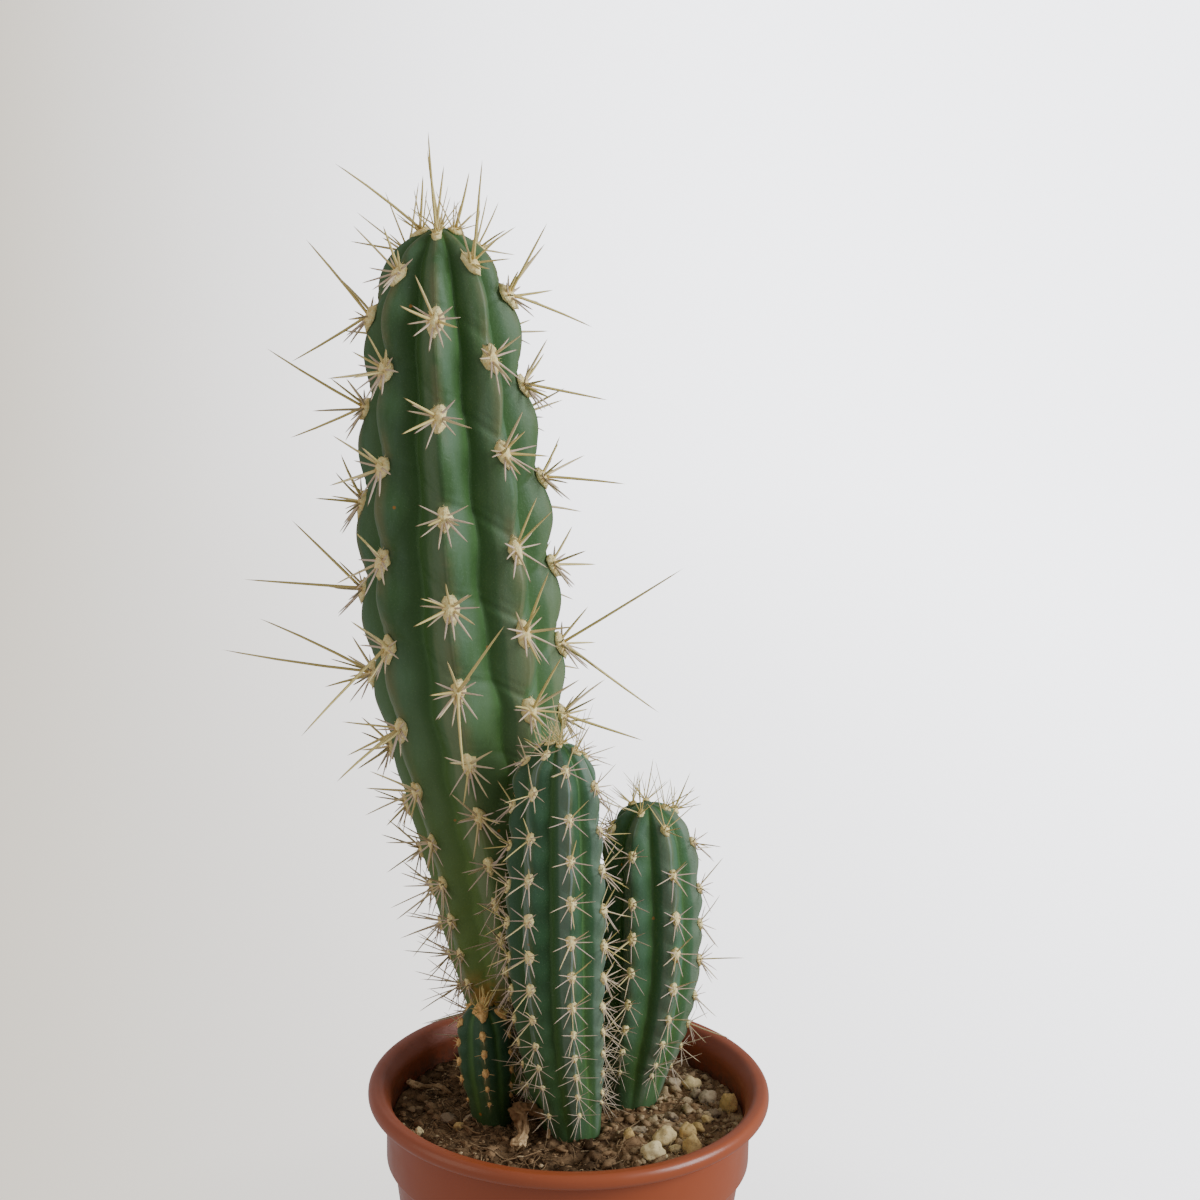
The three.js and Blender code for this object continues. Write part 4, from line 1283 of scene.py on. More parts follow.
@dataclass(frozen=True)
class Habit:
    """How an areole's spines stand: angles are clockwise from straight up the rib, in degrees."""

    radial_fan: tuple[float, ...]
    radial_length: tuple[float, float]
    central_fan: tuple[float, ...]
    central_length: tuple[float, float]
    young_count: int
    young_length: tuple[float, float]
    radial_radius: float
    central_radius: float

    def fans(self) -> tuple[Fan, Fan, Fan]:
        """The radials, almost flat on the skin and longest downwards, then the centrals, which stand
        out, and the young ones of the crown, which stand up in a tuft.

        Returns:
            The three fans.
        """
        all_round = tuple(np.linspace(-165.0, 165.0, self.young_count))
        return (
            Fan(self.radial_fan, (58.0, 80.0), self.radial_length, self.radial_radius,
                jitter=6.0, upwards_shorter=0.28, tone=(0.0, 0.4), missing=0.05),
            Fan(self.central_fan, (22.0, 56.0), self.central_length, self.central_radius,
                jitter=15.0, upwards_shorter=0.0, tone=(0.5, 1.0), missing=0.22),
            Fan(all_round, (16.0, 58.0), self.young_length, self.radial_radius,
                jitter=12.0, upwards_shorter=-0.2, tone=(0.6, 1.0), missing=0.05),
        )


@dataclass(frozen=True)
class Reach:
    """One of the longest spines: its rib, its areole from the top, and the way from root to tip."""

    rib: int
    areole: int
    way: tuple[float, float, float]


@dataclass
class Stem:
    """One ribbed stem. A place on it is counted down in areoles of the first rib and round in ribs.

    A station is a height, the axis's x and y and the crest radius there. The areoles are distances from
    the apex along the first rib's crest, and phases shift those of each rib, in areole pitches.
    """

    name: str
    first_azimuth: float
    apex: float
    crown_height: float
    rib_depth: float
    stations: Array
    areoles: Array
    phases: Array
    pad: tuple[float, float, float]
    habit: Habit
    skin: SkinFinish
    horn: SpineFinish
    seed: int
    wool: Wool = Wool.CREAM
    reaching: tuple[Reach, ...] = ()
    row_step: float = 0.75
    columns_per_rib: int = 18

    # A furrow's share of its depth at the soil, and the height over which that would grow by 1.
    shallow: float = 0.4
    deep_over: float = 60.0
    # Depth of the notch over a pad of usual size, and the share of all relief that is left low down.
    notch: float = 0.6
    foot_relief: float = 0.7
    # How far furrows sway, how far each leans, in ribs, and the areole that the leaning starts at.
    sway_share: float = 0.01
    furrow_lean: tuple[float, ...] = ()
    lean_from: float = 4.0
    # Size of the areoles at the apex against the rest, and the share of the height that it starts at.
    crown_size: float = 0.65
    crown_from: float = 0.97
    # The least share of their length that spines keep near the soil.
    lowest_length: float = 0.95
    # The middle of the rusty patch, which is far off where a stem has none.
    cork_spot: tuple[float, float, float] = (0.0, 0.0, 0.0)

    # The swelling between areoles as a share of their pitch, and how many pitches late it comes.
    SWELL = 0.045
    LAG = 0.12
    # The notches are drawn for a pad of this half-length, on a rib whose crest is this far from the axis.
    USUAL_PAD = 3.7
    USUAL_RADIUS = 18.0
    # The round neck's rings under the foot, as depth and share of the foot's radius, and its end's depth.
    NECK = ((2.5, 1.0), (7.0, 0.8))
    NECK_DEPTH = 9.0
    # Hairs on each pad, and their radius.
    HAIRS = 34
    HAIR_RADIUS = 0.085
    # What is added to the stem's seed for each kind of random numbers.
    WOOL_SEED, SPINE_SEED, BOW_SEED = 100, 200, 300

    def __post_init__(self) -> None:
        """Measures the crest once: distance from the apex against height, in small steps."""
        step = 0.1
        self.ribs = len(self.phases)
        self.foot = self.stations[0, 0]
        self.last = len(self.areoles) - 1
        self.places = np.arange(-1, len(self.areoles))
        self.lengths = np.concatenate([[0.0], self.areoles])
        self.heights = np.arange(self.apex, self.foot - 1.0, -step)
        runs = np.hypot(step, np.diff(self.crest_radius(self.heights)))
        self.arcs = np.concatenate([[0.0], np.cumsum(runs)])

    def crest_radius(self, z: Array) -> Array:
        """The stations' radius at heights, closed over the crown as half an ellipse.

        Args:
            z: the heights.

        Returns:
            The radii.
        """
        into_crown = np.clip((z - (self.apex - self.crown_height)) / self.crown_height, 0.0, 1.0)
        radius = smooth_through(self.stations[:, 0], self.stations[:, 3:], z)[..., 0]
        return radius * np.sqrt(1.0 - into_crown ** 2)

    def axis(self, z: Array) -> Array:
        """The axis's points at these heights."""
        middle = smooth_through(self.stations[:, 0], self.stations[:, 1:3], z)
        return np.concatenate([middle, z[..., None]], axis=-1)

    def rise(self, places: Array) -> Array:
        """How far up the stem places are, from 0 at its foot to 1 at its apex."""
        return (places[..., 2] - self.foot) / (self.apex - self.foot)

    def azimuth(self, turn: Array) -> Array:
        """The azimuth of a place round the stem, before its furrow's sway."""
        return math.radians(self.first_azimuth) + turn / self.ribs * TAU

    def outward(self, z: Array, azimuth: Array) -> Array:
        """The unit vector away from the axis at an azimuth, square to the axis there."""
        way = unit(self.axis(z + 1.0) - self.axis(z - 1.0))
        return across(level(azimuth), way)

    def profile(self, turn: Array) -> Array:
        """Height of the section from furrow to crest: a little over half of it |cos|, with the furrow's
        bottom rounded off, and the rest a ridge with straight flanks.

        Args:
            turn: place round the stem, in ribs.

        Returns:
            The height, about 0 in a furrow and 1 on a crest.
        """
        off, cosine_share, rounding = np.abs(turn - np.round(turn)), 0.54, 0.05
        rounded = np.sqrt(np.cos(math.pi * off) ** 2 + rounding ** 2)
        return cosine_share * rounded + (1.0 - cosine_share) * (1.0 - 2.0 * off)

    def ribbed_radius(self, z: Array, turn: Array) -> Array:
        """Radius across a rib: the crest radius less the furrow, which is shallower near the soil."""
        deepening = np.clip(self.shallow + (z - self.foot) / self.deep_over, 0.0, 1.0)
        return self.crest_radius(z) * (1.0 - self.rib_depth * deepening * (1.0 - self.profile(turn)))

    def height_of(self, count: Array, turn: Array) -> Array:
        """The height of a place: its distance from the apex, moved by its rib's share of a pitch.

        Args:
            count: place down the stem, in areoles.
            turn: place round it, in ribs.

        Returns:
            The height.
        """
        rib = np.floor(turn).astype(int)
        part = turn - rib
        shift = self.phases[rib % self.ribs] * (1 - part) + self.phases[(rib + 1) % self.ribs] * part
        shift = shift * np.clip(np.minimum(count, self.last - count), 0.0, 1.0)
        return np.interp(np.interp(count + shift, self.places, self.lengths), self.arcs, self.heights)

    def pitch(self, count: Array) -> Array:
        """The distance between the two areoles round a place."""
        low = np.clip(np.floor(count).astype(int), 0, self.last - 1)
        return self.areoles[low + 1] - self.areoles[low]

    def relief(self, count: Array, turn: Array) -> Array:
        """What the skin stands out or in by along a rib.

        The crest swells between areoles by a sine. Over each areole it is pinched by a narrow bell, and
        further up creased by a fainter one; both climb as they cross the flanks, and fade there.

        Args:
            count: place down the stem, in areoles.
            turn: place round it, in ribs.

        Returns:
            The distance outwards.
        """
        off, grown_in = turn - np.round(turn), np.clip(count, 0.0, 1.0)
        wave = np.sin(TAU * (count - self.LAG)) * grown_in
        swell = self.SWELL * self.pitch(count) * wave * np.cos(math.pi * off) ** 2
        above = (np.round(count) - count) * self.pitch(count)
        side = np.abs(off) * TAU * self.USUAL_RADIUS / self.ribs
        scale = self.pad[1] / self.USUAL_PAD
        pinch = 0.75 * np.exp(-((above - 3.6 * scale - 0.25 * side) / (1.5 * scale)) ** 2)
        crease = 0.28 * np.exp(-((above - 6.6 * scale - 0.35 * side) / (0.9 * scale)) ** 2)
        fade = np.exp(-(side / (7.0 * scale)) ** 2) * grown_in
        left = 1.0 - (1.0 - self.foot_relief) * smooth_step(0.28, 0.45, count / len(self.areoles))
        return (swell - self.notch * scale * (pinch + crease) * fade) * left

    def sway(self, count: Array, turn: Array) -> Array:
        """How far a furrow is pushed round, in ribs, by the crest that swells more on one side of it.

        It is a cosine along the furrow, times the sine of half a turn for each pitch that the two ribs
        are out of step, plus the furrow's own lean low down, and fades to nothing on the crests as
        sin * sin does.

        Args:
            count: place down the stem, in areoles.
            turn: place round it, in ribs.

        Returns:
            The push, in ribs.
        """
        rib = np.floor(turn).astype(int)
        step = self.phases[(rib + 1) % self.ribs] - self.phases[rib % self.ribs]
        wave = np.cos(TAU * (count - self.LAG)) * np.clip(count, 0.0, 1.0)
        leans = np.array(self.furrow_lean or (0.0,) * self.ribs)
        lean = leans[rib % self.ribs] * smooth_step(self.lean_from, self.lean_from + 1.5, count)
        return (self.sway_share * wave * np.sin(math.pi * step) + lean) * np.sin(math.pi * turn) ** 2

    def surface(self, count: Array, turn: Array, fine: bool = True) -> Array:
        """The skin: the axis at the place's height, plus the ribbed radius and relief outwards.

        Args:
            count: place down the stem, in areoles.
            turn: place round it, in ribs.
            fine: adds the slow unevenness of grown skin, from two sizes of noise.

        Returns:
            The points.
        """
        z = self.height_of(count, turn)
        out = self.outward(z, self.azimuth(turn + self.sway(count, turn)))
        radius = self.ribbed_radius(z, turn) + self.relief(count, turn)
        points = self.axis(z) + out * radius[..., None]
        if fine:
            flat = points.reshape(-1, 3)
            slow, quick = smooth_noise(flat, 13.0, self.seed), smooth_noise(flat, 4.5, self.seed + 9)
            uneven = (0.30 * slow + 0.10 * quick).reshape(radius.shape)
            points = points + out * (uneven * np.clip(radius / 10.0, 0.1, 1.0))[..., None]
        return points

    def holds(self, places: Array, margin: float) -> Array:
        """Whether places lie inside the stem or near it.

        Args:
            places: the places, one a row.
            margin: how far from the skin still counts.

        Returns:
            True or False for each.
        """
        z = np.clip(places[:, 2], self.foot, self.apex - 0.5)
        off = places[:, :2] - self.axis(z)[:, :2]
        azimuth = np.arctan2(off[:, 0], -off[:, 1])
        turn = (azimuth - math.radians(self.first_azimuth)) / TAU * self.ribs
        inside = np.hypot(off[:, 0], off[:, 1]) < self.ribbed_radius(z, turn) + margin
        return inside & (places[:, 2] < self.apex + margin)

    def rows(self) -> Array:
        """The surface's rows, from just under the apex to the last place above the soil.

        Returns:
            The count of each.
        """
        near_apex = min(0.6, self.areoles[0] / 3)
        spaced = np.arange(near_apex, self.areoles[-1], self.row_step)
        return np.concatenate([np.interp(spaced, self.lengths, self.places), [self.last]])

    def body(self) -> None:
        """Builds the skin: rows down the stem, then a round neck that goes into the soil."""
        counts, columns = self.rows(), self.columns_per_rib * self.ribs
        turns = np.arange(columns) / self.columns_per_rib
        count, turn = np.meshgrid(counts, turns, indexing="ij")
        points = self.surface(count, turn)
        foot, top = self.axis(np.array([self.foot, self.apex]))
        ring = level(self.azimuth(turns)) * self.stations[0, 3]
        neck = [foot + ring * share - (0.0, 0.0, depth) for depth, share in self.NECK]
        poles = [top - (0.0, 0.0, 0.05), foot - (0.0, 0.0, self.NECK_DEPTH)]
        under = len(neck) * columns + len(poles)
        marks = {key: np.concatenate([value.ravel(), np.full(under, value[-1].mean())])
                 for key, value in self.marks(turn, points).items()}
        # The crown's pole, where the ribs meet, counts as most of a crest.
        marks["crest"][-2] = 0.8
        draft = Draft(self.name + "_skin")
        draft.add(np.concatenate([points.reshape(-1, 3), *neck, poles]),
                  *closed_faces(len(counts) + len(neck), columns), **marks)
        place(draft.build(), self.skin.dress(), "cactus_skin", self.name)

    def marks(self, turn: Array, points: Array) -> dict[str, Array]:
        """What the skin's finish reads: crest is the section's height from furrow to crest, side is the
        sine of a whole turn for each rib, so it is negative left of a crest, rise goes from 0 at the soil
        to 1 at the apex, and cork is the rusty patch low on the stem.

        Args:
            turn: place of each point round the stem, in ribs.
            points: the points.

        Returns:
            The marks by name.
        """
        cork = smooth_step(15.0, 3.0, np.linalg.norm(points - np.array(self.cork_spot), axis=-1))
        return {"crest": np.clip(self.profile(turn), 0.0, 1.0), "side": np.sin(TAU * turn),
                "rise": np.clip(self.rise(points), 0.0, 1.0), "cork": cork}

    def areole_places(self) -> tuple[Array, Array]:
        """The counts and ribs of all areoles. A rib's top one is at count 0, or at 0.3 where its phase is
        0.25 or more, and a rib whose phase is -0.25 or less has none there.

        Returns:
            The counts and the ribs.
        """
        counts, ribs = [], []
        for rib, phase in enumerate(self.phases):
            top = [0.3] if phase >= 0.25 else [0.0] if phase > -0.25 else []
            chosen = top + list(range(1, len(self.areoles)))
            counts += chosen
            ribs += [rib] * len(chosen)
        return np.array(counts, float), np.array(ribs, float)

    def areole_frames(self, others: list["Stem"]) -> dict[str, Array]:
        """Each areole's centre on the skin and its unit vectors: normal, up the rib, and to the side.

        Args:
            others: the other stems; an areole that one of them would bury is left out.

        Returns:
            Arrays by name, one row an areole.
        """
        count, rib = self.areole_places()
        centre = self.surface(count, rib)
        reach = 0.12
        up = unit(self.surface(count - reach, rib, False) - self.surface(count + reach, rib, False))
        normal = across(self.outward(centre[:, 2], self.azimuth(rib)), up)
        free = ~np.any([other.holds(centre, 1.5) for other in others], axis=0)
        frames = {"count": count, "rib": rib, "centre": centre, "normal": normal, "up": up,
                  "side": np.cross(up, normal)}
        return {key: value[free] for key, value in frames.items()}

    def smaller(self, centre: Array) -> Array:
        """How much smaller than full size areoles and spines are, near the soil and on the crown.

        Args:
            centre: the areoles' centres.

        Returns:
            The share of full size of each.
        """
        rise = self.rise(centre)
        crown = smooth_step(self.crown_from, 1.0, rise)
        return (0.52 + 0.48 * smooth_step(0.08, 0.55, rise)) * (1.0 + (self.crown_size - 1.0) * crown)

    def wool_pads(self, frames: dict[str, Array]) -> None:
        """Builds the wool: a lumpy dome on each areole, narrowing downwards, and short hairs on it.

        A dome's point at ring share s and angle a stands s times the half-width times sin(a) sideways,
        s times the half-length times cos(a) up the rib, and the height times the root of 1 - s * s out
        of the skin, less what the rib's crest falls away by.

        Args:
            frames: the areoles.
        """
        random = np.random.default_rng(self.WOOL_SEED + self.seed)
        half_width, half_length, height = self.pad
        number, sides, shares = len(frames["centre"]), 12, np.array([0.26, 0.6, 0.86, 1.0])
        angle = round_angles(sides)
        downwards = np.clip(-np.cos(angle), 0.0, 1.0)
        sideways = np.outer(shares, np.sin(angle) * (1.0 - 0.28 * downwards)).ravel() * half_width
        upwards = np.outer(shares, np.cos(angle) * (1.0 + 0.25 * downwards)).ravel() * half_length
        out = np.repeat(np.sqrt(1.0 - shares ** 2) * height, sides) - sideways ** 2 / 9.0 - 0.15
        sideways, upwards = np.append(sideways, [0.0, 0.0]), np.append(upwards, [0.0, 0.0])
        out = np.append(out, [height, -1.0])
        uneven = 1.0 + 0.46 * (random.random((number, len(out))) - 0.5)
        size = self.smaller(frames["centre"])[:, None, None] * (0.9 + 0.2 * random.random((number, 1, 1)))
        lumps = 0.34 * height * (random.random((number, len(out))) - 0.35) * (out > 0.1)
        side, up, normal = (frames[key][:, None] for key in ("side", "up", "normal"))
        offset = (sideways * uneven)[..., None] * side + (upwards * uneven)[..., None] * up
        points = frames["centre"][:, None] + (offset + (out + lumps)[..., None] * normal) * size
        draft = Draft(self.name + "_wool")
        draft.add_copies(points, *closed_faces(len(shares), sides, inverted=True),
                         tone=0.6 + 0.4 * random.random((number, len(out))))
        self.hairs(draft, frames, size, random)
        light, deep = self.wool.value
        place(draft.build(), WoolFinish(self.name + "_wool", light, deep).dress(), "areole_wool")

    def hairs(self, draft: Draft, frames: dict[str, Array], size: Array,
              random: np.random.Generator) -> None:
        """Adds the felt's hairs: thin three-sided spikes that lean outwards all over a pad.

        Args:
            draft: the piece that they go into.
            frames: the areoles.
            size: each areole's share of full size.
            random: where their places and ways come from.
        """
        half_width, half_length, height = self.pad
        every = (len(frames["centre"]), self.HAIRS, 1)
        share, angle = np.sqrt(random.random(every)), random.random(every) * TAU
        side, up, normal = (frames[key][:, None] for key in ("side", "up", "normal"))
        sideways, upwards = side * np.sin(angle) * share, up * np.cos(angle) * share
        spot = sideways * half_width * 0.85 + upwards * half_length * 0.95
        spot = spot + normal * (height * np.sqrt(1.0 - 0.85 * share ** 2) - 0.35)
        root = frames["centre"][:, None] + spot * size
        way = unit(normal * 0.7 + (sideways + upwards) + 0.5 * random.normal(size=root.shape))
        length = (0.35 + 0.3 * random.random(every)) * half_length * 0.5
        tip = root + way * length * size
        tone = 0.6 + 0.4 * random.random(every[0] * self.HAIRS)
        spikes(draft, root.reshape(-1, 3), tip.reshape(-1, 3), self.HAIR_RADIUS, tone)

    def fanned(self, fan: Fan, frames: dict[str, Array], chosen: Array,
               random: np.random.Generator) -> tuple[Array, Array, Array, Array]:
        """Plans one spine for each angle of a fan on each chosen areole, and leaves some out.

        A spine leans from the areole's normal towards its angle in the fan.

        Args:
            fan: the fan.
            frames: the areoles.
            chosen: which of them have it.
            random: where the differences between spines come from.

        Returns:
            Root, tip, base radius and tone of each spine.
        """
        rows = np.repeat(np.flatnonzero(chosen), len(fan.angles))
        number, smaller = len(rows), self.smaller(frames["centre"])[rows]
        old = frames["count"][rows] >= 1.0
        lasting = np.where(old, np.maximum(smaller, self.lowest_length), smaller)
        up, side, normal, centre = (frames[key][rows] for key in ("up", "side", "normal", "centre"))
        angle = np.radians(np.tile(fan.angles, chosen.sum()) + fan.jitter * random.normal(size=number))
        tilt = np.radians(random.uniform(*fan.lean, number))
        flat = up * np.cos(angle)[:, None] + side * np.sin(angle)[:, None]
        way = flat * np.sin(tilt)[:, None] + normal * np.cos(tilt)[:, None]
        length = random.uniform(*fan.length, number) * (1.0 - fan.upwards_shorter * np.cos(angle)) * lasting
        thick = fan.radius * (0.85 + 0.3 * random.random(number)) * smaller
        tone = random.uniform(*fan.tone, number)
        kept = random.random(number) >= fan.missing
        sunk = 0.45
        root = centre + (flat * (self.pad[0] * sunk) + normal * self.pad[2] * sunk) * smaller[:, None]
        return root[kept], (root + way * length[:, None])[kept], thick[kept], tone[kept]

    def planned_spines(self, frames: dict[str, Array]) -> dict[str, Array]:
        """Every spine before it is fitted in: those of the fans, then the longest, placed one by one.

        Args:
            frames: the areoles.

        Returns:
            Root, tip, base radius, tone (0 cream, 1 straw) and age (0 young, 1 old) by name.
        """
        random = np.random.default_rng(self.SPINE_SEED + self.seed)
        old = frames["count"] >= 1.0
        groups = [self.fanned(fan, frames, chosen, random)
                  for fan, chosen in zip(self.habit.fans(), (old, old, ~old))]
        for reach in self.reaching:
            row = np.flatnonzero((frames["rib"] == reach.rib) & (np.floor(frames["count"]) == reach.areole))
            start = frames["centre"][row] + frames["normal"][row] * self.pad[2] * 0.6
            thick = np.full(len(row), self.habit.central_radius * 1.1)
            groups.append((start, start + np.array(reach.way), thick, np.ones(len(row))))
        root, tip, thick, tone = (np.concatenate(parts) for parts in zip(*groups))
        age = smooth_step(0.55, 0.12, self.rise(root))
        return {"root": root, "tip": tip, "thick": thick, "tone": tone, "age": age}

    def clear(self, spot: Array, others: list["Stem"], soil: Soil) -> Array:
        """Whether places are clear of the stems and the soil, and inside the pot or over it.

        Args:
            spot: the places, one a row.
            others: the other stems.
            soil: the soil.

        Returns:
            True or False for each.
        """
        free = ~self.holds(spot, 0.15) & ~np.any([other.holds(spot, 0.5) for other in others], axis=0)
        x, y, z = spot.T
        within = np.hypot(x, y) < soil.pot.bore - 1.0
        return free & (z > soil.height(x, y) + 1.0) & (within | (z > soil.pot.height + 1.0))

    def spines(self, frames: dict[str, Array], others: list["Stem"], soil: Soil) -> None:
        """Builds the spines, each at the longest share of its length, of those tried, that is clear.

        Args:
            frames: the areoles.
            others: the other stems.
            soil: the soil.
        """
        plan = self.planned_spines(frames)
        root, way = plan["root"], plan["tip"] - plan["root"]
        share = np.zeros(len(root))
        for tried in (0.4, 0.55, 0.7, 0.85, 1.0):
            spots = [root + way * along * tried for along in np.linspace(0.25, 1.0, 7)]
            clear = np.all([self.clear(spot, others, soil) for spot in spots], axis=0)
            share = np.where(clear, tried, share)
        fits = share > 0.0
        tip = root + way * share[:, None]
        draft = Draft(self.name + "_spines")
        needles(draft, root[fits], tip[fits], plan["thick"][fits],
                np.random.default_rng(self.BOW_SEED + self.seed),
                tone=plan["tone"][fits], age=plan["age"][fits])
        place(draft.build(), self.horn.dress(), "spine")

    def make(self, stems: list["Stem"], soil: Soil) -> None:
        """Builds the stem's skin, wool and spines.

        Args:
            stems: all the stems.
            soil: the soil that they stand in.
        """
        others = [stem for stem in stems if stem is not self]
        self.body()
        frames = self.areole_frames(others)
        self.wool_pads(frames)
        self.spines(frames, others, soil)


def needles(draft: Draft, root: Array, tip: Array, thick: Array, random: np.random.Generator,
            **marks: Array) -> None:
    """Adds a six-sided tapered needle from each root to its tip, bowed a little to one side.

    At share t of its length the middle line is bowed by 4 t (1 - t) times the bow, and the radius is the
    base radius times a share that falls from 1.2 at the swollen foot to nothing at the point.

    Args:
        draft: the piece that they go into.
        root: one root a row.
        tip: one tip a row.
        thick: base radius of each.
        random: where the bows come from.
        marks: marks, with one number for each needle.
    """
    sides = 6
    stops = np.array([0.0, 0.06, 0.32, 0.64, 0.88])
    swell = np.array([1.20, 1.0, 0.94, 0.76, 0.46])
    most_bow = 0.022
    number, rings = len(root), len(stops)
    way = tip - root
    length = np.linalg.norm(way, axis=1)
    side, over = square_to(unit(way))
    bow_angle = random.random(number) * TAU
    bow = side * np.cos(bow_angle)[:, None] + over * np.sin(bow_angle)[:, None]
    bow = bow * (length * most_bow * random.random(number))[:, None]
    line = root[:, None] + way[:, None] * stops[:, None] + bow[:, None] * (4 * stops * (1 - stops))[:, None]
    angle = round_angles(sides)
    out = side[:, None, None] * np.cos(angle)[:, None] + over[:, None, None] * np.sin(angle)[:, None]
    corners = line[:, :, None] + out * (thick[:, None] * swell)[:, :, None, None]
    base = np.array([[0, 1, 2, 3], [0, 3, 4, 5]])
    draft.add_copies(np.concatenate([corners.reshape(number, -1, 3), tip[:, None]], axis=1),
                     np.concatenate([ring_quads(rings, sides), base]),
                     fan_triangles(rings * sides, (rings - 1) * sides, sides, under=True),
                     along=np.append(np.repeat(stops, sides), 1.0),
                     **{key: value[:, None] for key, value in marks.items()})


def spikes(draft: Draft, root: Array, tip: Array, radius: float, tone: Array) -> None:
    """Adds a three-sided spike, a thin tetrahedron, from each root to its tip.

    Args:
        draft: the piece that they go into.
        root: one root a row.
        tip: one tip a row.
        radius: distance from a root to its three corners.
        tone: a number for each spike.
    """
    side, over = square_to(unit(tip - root))
    corners = [root + radius * (side * math.cos(a) + over * math.sin(a)) for a in (0.0, TAU / 3, 2 * TAU / 3)]
    faces = np.array([[0, 1, 2], [3, 1, 0], [3, 2, 1], [3, 0, 2]])
    draft.add_copies(np.stack([*corners, tip], axis=1), None, faces, tone=tone[:, None])


TALL_HABIT = Habit(
    radial_fan=(-62.0, -94.0, -136.0, -168.0, 168.0, 140.0, 96.0, 58.0), radial_length=(6.6, 9.2),
    central_fan=(-6.0, 48.0, 118.0, -72.0, -130.0), central_length=(9.0, 19.0),
    young_count=8, young_length=(8.0, 19.0), radial_radius=0.37, central_radius=0.45)
SHORT_HABIT = Habit(
    radial_fan=(-62.0, -102.0, -142.0, 179.0, 138.0, 96.0, 60.0), radial_length=(5.6, 7.6),
    central_fan=(24.0, -150.0), central_length=(7.0, 12.0),
    young_count=8, young_length=(8.0, 17.0), radial_radius=0.21, central_radius=0.23)
PUP_HABIT = Habit(
    radial_fan=(-100.0, 180.0, 100.0), radial_length=(1.6, 3.0),
    central_fan=(0.0,), central_length=(1.8, 3.4),
    young_count=12, young_length=(1.4, 2.8), radial_radius=0.10, central_radius=0.11)

